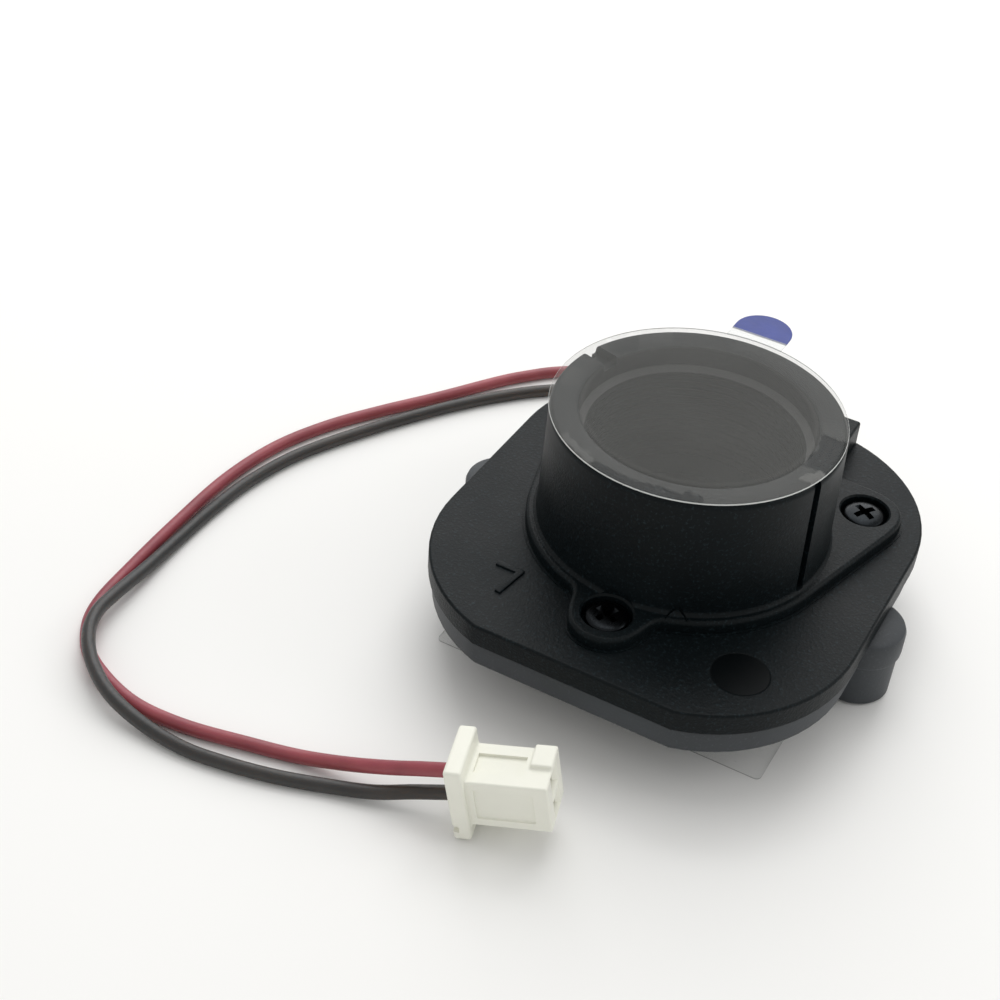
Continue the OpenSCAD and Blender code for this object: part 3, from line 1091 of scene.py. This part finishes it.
@dataclass
class Lead:
    """One insulated lead, from the housing's back wall to the plug."""

    name: str
    slot: str
    length: float
    route: list[Point]
    diameter: float = 0.75

    def build(self) -> bpy.types.Object:
        """Returns the lead as one smooth curve through its route."""
        deselect_all()
        bpy.ops.curve.primitive_bezier_curve_add()
        lead = bpy.context.active_object
        lead.name = self.name
        lead.location = (0, 0, 0)
        curve = lead.data
        curve.name = self.name
        curve.dimensions = "3D"
        curve.splines.remove(curve.splines[0])
        spline = curve.splines.new("BEZIER")
        spline.bezier_points.add(len(self.route) - 1)
        places = [Vector(point) * MM for point in self.route]
        for i, (knot, here) in enumerate(zip(spline.bezier_points, places)):
            before, after = places[max(i - 1, 0)], places[min(i + 1, len(places) - 1)]
            knot.handle_left_type = knot.handle_right_type = "FREE"
            knot.co = here
            knot.handle_left = here - (after - before) / 6
            knot.handle_right = here + (after - before) / 6
        curve.resolution_u = curve.render_resolution_u = 8
        curve.bevel_depth = self.diameter / 2 * MM
        curve.bevel_resolution = 5
        curve.use_fill_caps = True
        return lead

    def dress(self, plug: list[bpy.types.Object]) -> None:
        """Args:
            plug: the pieces at its far end; not used.
        """
        lead = self.build()
        place(lead, Body.ROOT, self.slot, self.slot)


RED_ROUTE: list[Point] = [
    (-5.3, 12.75, 3.85), (-5.3, 13.7, 3.75), (-5.5, 14.9, 3.2), (-6.1, 16.1, 2.2), (-7.1, 17.2, 1.3),
    (-8.6, 18, 0.65), (-10.5, 18.4, 0.4), (-12.6, 18.3, 0.38), (-14.5, 17.5, 0.38),
    (-16, 16.4, 0.38), (-17.2, 15.1, 0.38), (-18.5, 13.4, 0.38), (-20.9, 9.6, 0.38),
    (-23.2, 6.2, 0.38), (-25.1, 3, 0.38), (-26.5, -0.6, 0.38), (-27.1, -4.8, 0.38),
    (-27, -9.5, 0.38), (-26.7, -14, 0.38), (-26.3, -17.4, 0.38), (-25.3, -19.5, 0.38),
    (-23.6, -21, 0.38), (-20.3, -22.2, 0.38), (-17, -22.2, 0.38), (-13.2, -21.4, 0.38),
    (-10.7, -20.8, 0.42), (-8.3, -20.35, 0.9), (-6, -20.05, 1.7), (-4.2, -19.82, 2.45),
    (-2.58, -19.54, 3.02),
]
BLACK_ROUTE: list[Point] = [
    (-6.2, 12.75, 3.85), (-6.2, 13.6, 3.75), (-6.5, 14.6, 3.2), (-7.2, 15.5, 2.3), (-8.4, 16.2, 1.3),
    (-9.9, 16.5, 0.65), (-11.7, 16.3, 0.4), (-13.5, 15.5, 0.38), (-15.4, 14.3, 0.38),
    (-17.6, 12, 0.38), (-20, 8.8, 0.38), (-22.5, 4.6, 0.38), (-24.8, -0.1, 0.38),
    (-25.8, -4, 0.38), (-26.05, -7.5, 0.38), (-26, -11, 0.4), (-25.8, -14, 0.62),
    (-25.6, -16.8, 0.95), (-25.3, -18.6, 1.18), (-24.5, -20.2, 1.25), (-23, -21.7, 1.2),
    (-21, -22.8, 0.95), (-18.6, -23.3, 0.6), (-16, -23.4, 0.38), (-13.6, -23.1, 0.38),
    (-11, -22.5, 0.38), (-8.6, -21.7, 0.4), (-6.3, -20.95, 0.6), (-4.3, -20.15, 1.05),
    (-2.32, -19.46, 1.53),
]


# ---------------------------------------------------------------- plug


@dataclass
class Plug:
    """Two-way crimp housing on the leads' ends, standing on its narrow side."""

    at: Point = (-2.45, -19.5, 2.29)
    yaw: float = 16
    nose_up: float = 10
    flange: Point = (0.9, 3.3, 4.5)
    body: Point = (4.9, 2.7, 2.9)
    cell: Flat = (0.8, 0.9)
    pitch: float = 1.5

    def stand(self, piece: bpy.types.Object) -> None:
        """Turns a piece made flat at the origin to where the plug stands."""
        yaw = Matrix.Rotation(math.radians(self.yaw), 4, "Z")
        lift = Matrix.Rotation(math.radians(-self.nose_up), 4, "Y")
        piece.matrix_world = Matrix.Translation(Vector(self.at) * MM) @ yaw @ lift
        settle(piece)

    def build_housing(self) -> bpy.types.Object:
        """Returns the housing with its flange, latch groove, side recesses and cells."""
        long, wide, high = self.body
        thick, ear_w, ear_h = self.flange
        housing = block("connector_shell", (0, -wide / 2, -high / 2), (long, wide / 2, high / 2))
        flange = block("flange", (0, -ear_w / 2, -ear_h / 2), (thick, ear_w / 2, ear_h / 2))
        round_edges(flange, 0.16, 3)
        combine(housing, flange, Shape.JOIN)
        rib = block("rib", (long - 1.1, -0.1, 0), (long, wide / 2, high / 2 + 0.25))
        combine(housing, rib, Shape.JOIN)
        foot = block("foot", (thick - 0.1, -0.55, -high / 2 - 0.3), (thick + 0.5, 0.55, 0))
        combine(housing, foot, Shape.JOIN)
        round_edges(housing, 0.12, 3, 50)
        for side in (-1, 1):
            recess = block("recess", (thick + 0.35, side * (wide / 2 + 0.4) - 0.5, -0.95),
                           (long - 0.75, side * (wide / 2 + 0.4) + 0.5, 0.95))
            round_edges(recess, 0.1, 2)
            shift(recess, (0, side * -0.02, 0))
            combine(housing, recess, Shape.CUT)
        groove = block("groove", (thick + 0.25, -0.62, high / 2 - 0.16), (long - 1.35, 0.62, high))
        combine(housing, groove, Shape.CUT)
        notch = block("notch", (-0.2, -ear_w / 2 - 0.1, -ear_h / 2 + 0.5),
                      (0.35, -ear_w / 2 + 0.3, -ear_h / 2 + 0.95))
        combine(housing, notch, Shape.CUT)
        for side in (-1, 1):
            self.cut_cell(housing, side * self.pitch / 2)
        tidy_mesh(housing)
        smooth(housing, 40)
        self.stand(housing)
        return housing

    def cut_cell(self, housing: bpy.types.Object, level: float) -> None:
        """Cuts one contact cell through the housing, with a bevelled mouth at the nose.

        Args:
            housing: the housing.
            level: the cell's height above the plug's middle.
        """
        wide, high = self.cell
        end = self.body[0]
        cell = block("cell", (-0.5, -wide / 2, level - high / 2), (end + 0.5, wide / 2, level + high / 2))
        combine(housing, cell, Shape.CUT)
        rings = [self.rectangle(end - 0.25, wide, high, level),
                 self.rectangle(end + 0.1, wide + 0.7, high + 0.56, level)]
        combine(housing, loft("mouth", rings), Shape.CUT)

    @staticmethod
    def rectangle(x: float, wide: float, high: float, level: float) -> list[Point]:
        """Returns the four corners of an upright rectangle."""
        return [(x, a * wide / 2, level + b * high / 2) for a, b in ((-1, -1), (1, -1), (1, 1), (-1, 1))]

    def build_contacts(self) -> bpy.types.Object:
        """Returns both crimp contacts: a box with a spring tongue, and a crimp barrel behind it."""
        wide, high = self.cell[0] - 0.1, self.cell[1] - 0.1
        first = block("crimp_terminals", (1.3, -wide / 2, -high / 2), (4.2, wide / 2, high / 2))
        hollow = block("hollow", (1.2, -wide / 2 + 0.1, -high / 2 + 0.1),
                       (4.5, wide / 2 - 0.1, high / 2 - 0.1))
        combine(first, hollow, Shape.CUT)
        round_edges(first, 0.03, 2, 50)
        tongue = block("tongue", (2.2, -0.14, high / 2 - 0.24), (4.1, 0.14, high / 2 - 0.16))
        round_edges(tongue, 0.02, 1)
        crimp = lathe("crimp", [(0.2, -0.42), (0.33, -0.45), (0.33, 0.45), (0.2, 0.42)], 24)
        crimp.rotation_euler = (0, math.radians(90), 0)
        crimp.location = (0.86 * MM, 0, 0)
        settle(crimp)
        join_meshes(first, tongue, crimp)
        second = copy_of(first, "crimp_terminal_low")
        shift(first, (0, 0, self.pitch / 2))
        shift(second, (0, 0, -self.pitch / 2))
        join_meshes(first, second)
        smooth(first, 40)
        self.stand(first)
        return first

    def dress(self) -> list[bpy.types.Object]:
        """Builds and dresses the plug.

        Returns:
            Its pieces.
        """
        housing, contacts = self.build_housing(), self.build_contacts()
        place(housing, Body.ROOT, "plug_plastic", "connector_housing")
        place(contacts, Body.ROOT, "tinned_metal", "crimp_contacts")
        return [housing, contacts]


# ---------------------------------------------------------------- cover with barrel


@dataclass
class Cover:
    """Cover plate with its raised pad, back hump and threaded barrel."""

    split: float = 4.4
    plate_top: float = 5.75
    pad_top: float = 6.5
    hump_top: float = 7.25
    rim: float = 13.4
    foot_r: float = 7.9
    rim_r: float = 7.71
    mouth_r: float = 6.15
    bore_r: float = 5.75
    shelf_r: float = 4.0
    shelf: float = 6.4
    pocket: float = 5.2
    thread_pitch: float = 0.5
    groove_depth: float = 0.24
    key_angles: tuple[float, float] = (-16, 164)
    key_half: float = 0.27
    key_depth: float = 0.3
    recess_r: float = 1.33
    head_seat: float = 5.6
    hump_half: float = 5.45
    hump_back: float = 12.86

    def build_slabs(self) -> bpy.types.Object:
        """Returns the plate with its pad and hump, and room for the barrel."""
        cover = prism("cover_plate", plate_outline(), self.split, self.plate_top)
        round_edges(cover, 0.15, 3)
        pad = prism("pad", pad_outline(), self.plate_top - 0.3, self.pad_top)
        round_edges(pad, 0.24, 4, 60)
        combine(cover, pad, Shape.JOIN)
        sweep = prism("sweep", pad_outline(0.14), self.plate_top - 0.25, self.plate_top + 0.05)
        combine(cover, sweep, Shape.JOIN)
        half, back = self.hump_half, self.hump_back
        corners = [(-half, 6.5), (half, 6.5), (half, back), (-half, back)]
        hump = prism("hump", corners, self.split + 0.3, self.hump_top)
        round_edges(hump, 0.16, 3)
        combine(cover, hump, Shape.JOIN)
        low, high, room = self.split - 1, self.hump_top + 1, 7.2
        bore = lathe("bore", [(0, low), (room, low), (room, high), (0, high)])
        combine(cover, bore, Shape.CUT)
        return cover

    def build_barrel(self) -> bpy.types.Object:
        """Returns the threaded barrel, turned in one piece with its foot fillet and round rim."""
        foot, rim, top, pad = self.foot_r, self.rim_r, self.rim, self.pad_top
        outer = [(foot + 0.3, pad - 0.05), (foot + 0.16, pad + 0.03), (foot + 0.05, pad + 0.12),
                 (foot, pad + 0.26), (rim + 0.02, top - 0.32), (rim - 0.01, top - 0.18),
                 (rim - 0.07, top - 0.07), (rim - 0.17, top - 0.01), (rim - 0.27, top)]
        inner = [(self.mouth_r + 0.2, top), (self.mouth_r + 0.07, top - 0.05),
                 (self.mouth_r, top - 0.18), (self.mouth_r, 12.2), (self.bore_r, 11.95),
                 (self.bore_r, self.shelf), (self.shelf_r, self.shelf)]
        low = self.pocket - 0.2
        barrel = lathe("barrel", outer + inner + [(self.shelf_r, low), (foot + 0.3, low)], 128)
        combine(barrel, self.thread_cutter(), Shape.CUT)
        return barrel

    def thread_cutter(self) -> bpy.types.Object:
        """Returns the helix that cuts the lens thread."""
        inside = self.bore_r - 0.06
        turns, half = 11, self.thread_pitch * 0.44
        start = 6.55
        root = self.bore_r + self.groove_depth
        corners = [(inside, 0, start - half), (root, 0, start), (inside, 0, start + half)]
        helix = ring_start("helix", corners, filled=False)
        modify(helix, "SCREW", angle=math.tau * turns, screw_offset=self.thread_pitch * turns * MM, axis="Z",
               steps=60 * turns, render_steps=60 * turns)
        edit(helix)
        bpy.ops.mesh.select_all(action="DESELECT")
        bpy.ops.mesh.select_non_manifold()
        bpy.ops.mesh.fill()
        bpy.ops.object.mode_set(mode="OBJECT")
        tidy_mesh(helix)
        return helix

    def cut_underside(self, cover: bpy.types.Object) -> None:
        """Hollows the cover over the carriage, round the screw bosses, and under the hump.

        Args:
            cover: the cover.
        """
        pocket = prism("pocket", plate_outline(1.3), self.split - 0.5, self.pocket)
        for x, y in SCREW_PLACES:
            boss = lathe("boss", [(0, 3), (BOSS_R, 3), (BOSS_R, 6), (0, 6)], 40)
            combine(pocket, shift(boss, (x, y, 0)), Shape.CUT)
        combine(cover, pocket, Shape.CUT)
        combine(cover, block("room", (-4.9, 8.2, self.split - 0.5), (4.9, 12.2, 6.7)), Shape.CUT)

    def cut_details(self, cover: bpy.types.Object) -> None:
        """Cuts the keyways, the rim notch, the screw recesses and the gate mark.

        Args:
            cover: the cover.
        """
        half, above, beyond = self.key_half, self.rim + 1, self.rim_r + 1
        for angle in self.key_angles:
            key = block("key", (self.rim_r - self.key_depth, -half, self.pad_top + 0.1),
                        (beyond, half, above))
            round_edges(key, 0.08, 2)
            combine(cover, shift(key, (0, 0, 0), angle), Shape.CUT)
        notch = block("notch", (self.mouth_r - 0.3, -2 * half, self.rim - 0.5), (beyond, 2 * half, above))
        round_edges(notch, 0.1, 2)
        combine(cover, shift(notch, (0, 0, 0), self.key_angles[1]), Shape.CUT)
        r, seat = self.recess_r, self.head_seat
        profile = [(0, 3.5), (0.6, 3.5), (0.6, seat), (r - 0.03, seat), (r, seat + 0.04), (r, 6.4),
                   (r + 0.1, 6.51), (r + 0.1, 7), (0, 7)]
        for x, y in SCREW_PLACES:
            combine(cover, shift(lathe("recess", profile, 48), (x, y, 0)), Shape.CUT)
        mark = lathe("gate_mark", [(0.5, 6.475), (0.58, 6.475), (0.6, 7), (0.5, 7)], 32)
        combine(cover, shift(mark, (3.2, -7.75, -0.02)), Shape.CUT)

    def add_numeral(self, cover: bpy.types.Object) -> None:
        """Raises a plain cavity number on the plate, made of two bars.

        Args:
            cover: the cover.
        """
        top = self.plate_top + 0.12
        bars = [block("bar", (-6.9, -8.25, self.plate_top - 0.1), (-5.3, -7.89, top)),
                block("bar", (-0.36, 0, self.plate_top - 0.1), (0, 2.1, top))]
        bars[1].rotation_euler = (0, 0, math.radians(-8))
        bars[1].location = (-5.59 * MM, -10.1 * MM, 0)
        settle(bars[1])
        for bar in bars:
            round_edges(bar, 0.06, 2)
            combine(cover, bar, Shape.JOIN)

    def dress(self) -> None:
        """Builds and dresses the cover."""
        cover = self.build_slabs()
        cover.name = "cover_with_barrel"
        combine(cover, self.build_barrel(), Shape.JOIN)
        self.cut_underside(cover)
        self.cut_details(cover)
        self.add_numeral(cover)
        tidy_mesh(cover)
        smooth(cover, 34)
        place(cover, Body.ROOT, "cover_plastic", "top_cover")


# ---------------------------------------------------------------- base


@dataclass
class Base:
    """Base with its sensor skirt, lugs and the room for the carriage."""

    floor: float = 2.9
    floor_top: float = 3.4
    split: float = 4.4
    skirt: float = 13.0
    well: float = 11.0
    lug_x: float = 11.0
    lug_r: float = 2.1
    hole_r: float = 0.8
    aperture_r: float = 3.4
    low: float = 0.1
    web_from: float = 6.0
    web_half: float = 1.75

    def build_shell(self) -> bpy.types.Object:
        """Returns the outer form: the plate, the skirt and the lugs, with their fillets."""
        base = prism("housing_base", plate_outline(0.25), self.floor, self.split)
        round_edges(base, 0.18, 3)
        half = self.skirt / 2
        skirt = block("skirt", (-half, -half, self.low), (half, half, self.floor + 0.3))
        round_edges(skirt, 0.35, 4)
        trim = block("trim", (-half - 1, -half - 1, -1), (half + 1, half + 1, self.low + 0.001))
        combine(skirt, trim, Shape.CUT)
        combine(base, skirt, Shape.JOIN)
        for side in (-1, 1):
            combine(base, self.build_lug(side), Shape.JOIN)
        return base

    def build_lug(self, side: int) -> bpy.types.Object:
        """Returns one lug: a round ear on a wider foot, joined to the skirt by a web.

        Args:
            side: -1 for the left one, 1 for the right one.

        Returns:
            The lug.
        """
        r = self.lug_r
        profile = [(0, self.low), (r - 0.24, self.low), (r - 0.18, self.low + 0.06), (r - 0.15, 2.6),
                   (r - 0.1, 2.76), (r - 0.02, 2.84), (r, 3.0), (r, self.split - 0.3),
                   (r - 0.08, self.split - 0.1), (r - 0.26, self.split), (0, self.split)]
        lug = lathe("lug", profile, 56)
        shift(lug, (side * self.lug_x, 0, 0))
        near, far = sorted((side * self.web_from, side * self.lug_x))
        web = block("web", (near, -self.web_half, self.low), (far, self.web_half, 3.1))
        round_edges(web, 0.15, 2)
        combine(lug, web, Shape.JOIN)
        return lug

    def cut_inside(self, base: bpy.types.Object) -> None:
        """Hollows the base: the well, the carriage room, the bores and the way out for the leads.

        Args:
            base: the base.
        """
        half = self.well / 2
        well = block("well", (-half, -half, -1), (half, half, self.floor))
        round_edges(well, 0.3, 3)
        combine(base, well, Shape.CUT)
        room = prism("room", plate_outline(1.3), self.floor_top, self.split + 0.5)
        for x, y in SCREW_PLACES:
            boss = lathe("boss", [(0, 2), (BOSS_R, 2), (BOSS_R, 6), (0, 6)], 40)
            combine(room, shift(boss, (x, y, 0)), Shape.CUT)
        combine(room, block("rail", (-10.4, -4.35, 3), (10.4, -4.05, 4)), Shape.CUT)
        combine(room, block("rail", (-10.4, 4.05, 3), (-2.2, 4.35, 4)), Shape.CUT)
        combine(base, room, Shape.CUT)
        bores = [(0, 0, self.aperture_r, self.floor - 0.5, self.floor_top + 0.5)]
        bores += [(side * self.lug_x, 0, self.hole_r, -1, self.floor) for side in (-1, 1)]
        bores += [(x, y, 0.52, 3.1, 5) for x, y in SCREW_PLACES] + [(2.3, 10, 0.42, 3.0, 5)]
        for x, y, r, low, high in bores:
            bore = lathe("bore", [(0, low), (r, low), (r, high), (0, high)], 48)
            combine(base, shift(bore, (x, y, 0)), Shape.CUT)
        combine(base, block("way_out", (-6.9, 10.9, self.floor_top), (-4.6, 14, 5)), Shape.CUT)

    def dress(self) -> None:
        """Builds and dresses the base."""
        base = self.build_shell()
        self.cut_inside(base)
        tidy_mesh(base)
        smooth(base, 34)
        place(base, Body.ROOT, "base_plastic", "base_housing")


# ---------------------------------------------------------------- screws, seal and gasket


@dataclass
class CoverScrews:
    """Pan head screws with a cross recess."""

    head_r: float = 1.14
    head_low: float = 5.6
    head_top: float = 6.44
    shank_r: float = 0.5
    shank_low: float = 3.15
    crown: float = 0.26
    turns: tuple[float, float, float] = (66, 58, 12)

    def build_one(self) -> bpy.types.Object:
        """Returns one screw, standing on the axis."""
        r, low, top = self.head_r, self.head_low, self.head_top
        turns = [math.radians(a) for a in (90, 75, 60, 48, 36, 24, 12, 0)]
        crown = self.crown
        dome = [(r * math.sin(a), top - crown + crown * math.cos(a)) for a in turns]
        shank = [(0, self.shank_low), (0.3, self.shank_low), (self.shank_r - 0.06, self.shank_low + 0.3)]
        rings = []
        level = self.shank_low + 0.4
        shank_r = self.shank_r
        while level < low - 0.35:
            rings += [(shank_r - 0.1, level), (shank_r, level + 0.08), (shank_r - 0.1, level + 0.16)]
            level += 0.25
        neck = [(shank_r - 0.05, low - 0.1), (shank_r - 0.05, low), (r - 0.08, low), (r, low + 0.07)]
        screw = lathe("screw", shank + rings + neck + dome, 56)
        for turn in (0, 90):
            wings = [[(a * long, b * wide, level) for a, b in ((-1, -1), (1, -1), (1, 1), (-1, 1))]
                     for long, wide, level in ((0.74, 0.19, top + 0.05), (0.34, 0.11, top - 0.4))]
            combine(screw, shift(loft("wing", wings), (0, 0, 0), turn), Shape.CUT)
        tidy_mesh(screw)
        smooth(screw, 32)
        return screw

    def dress(self) -> None:
        """Builds, places and dresses the three screws."""
        first = self.build_one()
        names = ("screw_front", "screw_right", "screw_left")
        screws = [first] + [copy_of(first, name) for name in names[1:]]
        first.name = names[0]
        for screw, (x, y), turn in zip(screws, SCREW_PLACES, self.turns):
            shift(screw, (x, y, 0), turn)
            place(screw, Body.ROOT, "black_steel", "cover_screws")


@dataclass
class SealAndGasket:
    """Sealant where the leads leave the base, and the gasket in the sensor well."""

    seal_low: Point = (-6.88, 10.92, 3.42)
    seal_high: Point = (-4.62, 12.72, 4.38)
    well: float = 11.0
    opening: float = 8.4
    top: float = 2.9
    thick: float = 0.5

    def build_seal(self) -> bpy.types.Object:
        """Returns the sealant, lumpy on its outer side."""
        seal = block("lead_sealant", self.seal_low, self.seal_high)
        edit(seal)
        bpy.ops.mesh.select_all(action="SELECT")
        bpy.ops.mesh.subdivide(number_cuts=7)
        bpy.ops.object.mode_set(mode="OBJECT")
        for vertex in seal.data.vertices:
            x, y, z = vertex.co / MM
            if y > 12.6:
                wave = 0.5 + 0.25 * math.sin(x * 5.1) + 0.25 * math.cos(z * 7.3 + x * 2)
                vertex.co.y -= 0.16 * wave * MM
        round_edges(seal, 0.08, 2, 60)
        smooth(seal, 60)
        return seal

    def build_gasket(self) -> bpy.types.Object:
        """Returns the square gasket with rounded inner corners."""
        half, gap = self.well / 2 - 0.02, self.opening / 2
        gasket = block("well_gasket", (-half, -half, self.top - self.thick), (half, half, self.top - 0.01))
        hole = block("hole", (-gap, -gap, self.top - 2), (gap, gap, self.top + 1))
        round_edges(hole, 0.5, 4)
        combine(gasket, hole, Shape.CUT)
        round_edges(gasket, 0.06, 2, 60)
        smooth(gasket, 40)
        return gasket

    def dress(self) -> None:
        """Builds and dresses both pieces."""
        place(self.build_seal(), Body.ROOT, "sealant", "lead_seal")
        place(self.build_gasket(), Body.ROOT, "gasket_rubber", "sensor_gasket")


# ---------------------------------------------------------------- films


@dataclass
class Films:
    """Protective films: a disc with a pull tab on the rim, and a square sheet under the base."""

    centre: Flat = (-0.08, 0.08)
    disc_r: float = 7.75
    low: float = 13.4
    thick: float = 0.1
    gap: float = 0.012
    tab_left: float = -1.75
    tab_right: float = 1.45
    tab_end: float = 10.6
    sheet_w: float = 19.0
    upper: RimFilm = RimFilm("film_upper", (0.255, 0.256, 0.245), 0.145, 0.8)

    def build_disc(self) -> bpy.types.Object:
        """Returns the disc, which sags a little over the open bore."""
        cx, cy = self.centre
        r, low, high = self.disc_r, self.low + self.gap, self.low + self.thick
        sag = [(6.0, 0.0), (4.5, -0.006), (3.0, -0.012), (1.5, -0.018), (0.001, -0.02)]
        under = [(0.001, low - 0.02)] + [(a, low + b) for a, b in reversed(sag[:-1])]
        edge = [(r - 0.02, low), (r, low + 0.02), (r, high - 0.03), (r - 0.02, high)]
        profile = under + edge + [(a, high + b) for a, b in sag]
        disc = lathe("rim_film", profile, 96)
        shift(disc, (cx, cy, 0))
        smooth(disc, 40)
        return disc

    def build_tab(self) -> bpy.types.Object:
        """Returns the pull tab, which starts at the disc's edge."""
        r = (self.tab_right - self.tab_left) / 2
        mid = (self.tab_right + self.tab_left) / 2
        turns = [math.pi * i / 24 for i in range(25)]
        end = [(mid + r * math.cos(a), self.tab_end - r + r * math.sin(a)) for a in turns]
        outline = [(self.tab_right, 7.2)] + end + [(self.tab_left, 7.2)]
        tab = prism("pull_tab", outline, self.low + self.gap, self.low + self.thick)
        cx, cy = self.centre
        inner = self.disc_r - 0.01
        disc = lathe("disc", [(0, 12), (inner, 12), (inner, 15), (0, 15)], 96)
        combine(tab, shift(disc, (cx, cy, 0)), Shape.CUT)
        round_edges(tab, 0.02, 1, 60)
        smooth(tab, 40)
        return tab

    def build_sheet(self) -> bpy.types.Object:
        """Returns the square sheet with clipped round corners."""
        half, r = self.sheet_w / 2, 0.3
        outline = []
        for quarter, (sx, sy) in enumerate(((1, 1), (-1, 1), (-1, -1), (1, -1))):
            for i in range(7):
                a = math.radians(90 * quarter + 15 * i)
                outline.append((sx * (half - r) + r * math.cos(a), sy * (half - r) + r * math.sin(a)))
        sheet = prism("under_film", outline, 0.0, self.thick)
        round_edges(sheet, 0.02, 1, 60)
        smooth(sheet, 40)
        return sheet

    def dress(self) -> None:
        """Builds and dresses the three pieces."""
        place(self.build_disc(), Body.FILM, "clear_film", "lens_film", finish=self.upper)
        place(self.build_tab(), Body.FILM, "tab_blue", "film_tab")
        place(self.build_sheet(), Body.ROOT, "clear_film", "base_film")


# ---------------------------------------------------------------- works inside


@dataclass
class InnerWorks:
    """The carriage, rotor and coil, whose shapes come from the frame."""

    slots: dict[str, str] = field(default_factory=lambda: {
        "filter_carriage": "carriage_plastic",
        "ir_cut_filter": "ir_glass",
        "clear_filter": "clear_glass",
        "filter_bezels": "bezel_plastic",
        "rotor_arm": "carriage_plastic",
        "rotor_magnet": "magnet",
        "rotor_shaft": "steel",
        "coil_bobbin": "bobbin_plastic",
        "coil_winding": "copper_wire",
        "stator_yoke": "yoke_steel",
        "terminal_pins": "tinned_metal",
        "inner_leads": "lead_black",
    })

    def dress(self) -> None:
        """Gives each of the frame's inner nodes its finish."""
        for name, slot in self.slots.items():
            node = frame["nodes"][name]
            material = PAINT.get(FINISHES[slot])
            if node.material_slots:
                for holder in node.material_slots:
                    holder.material = material
            else:
                node.data.materials.append(material)
            LOG.info("%s: finish %s", name, slot)


# ---------------------------------------------------------------- everything


def main() -> None:
    """Builds the studio and the leads with their plug, then the rest of the object."""
    logging.basicConfig(level=logging.INFO, format="%(name)s: %(message)s")
    Studio().build()
    housing, contacts = Plug().dress()
    Lead("lead_red_wire", "lead_red", 79.1, RED_ROUTE).dress([housing])
    Lead("lead_black_wire", "lead_black", 74.7, BLACK_ROUTE).dress([contacts])
    Cover().dress()
    Base().dress()
    CoverScrews().dress()
    SealAndGasket().dress()
    Films().dress()
    InnerWorks().dress()


if __name__ == "__main__":
    main()
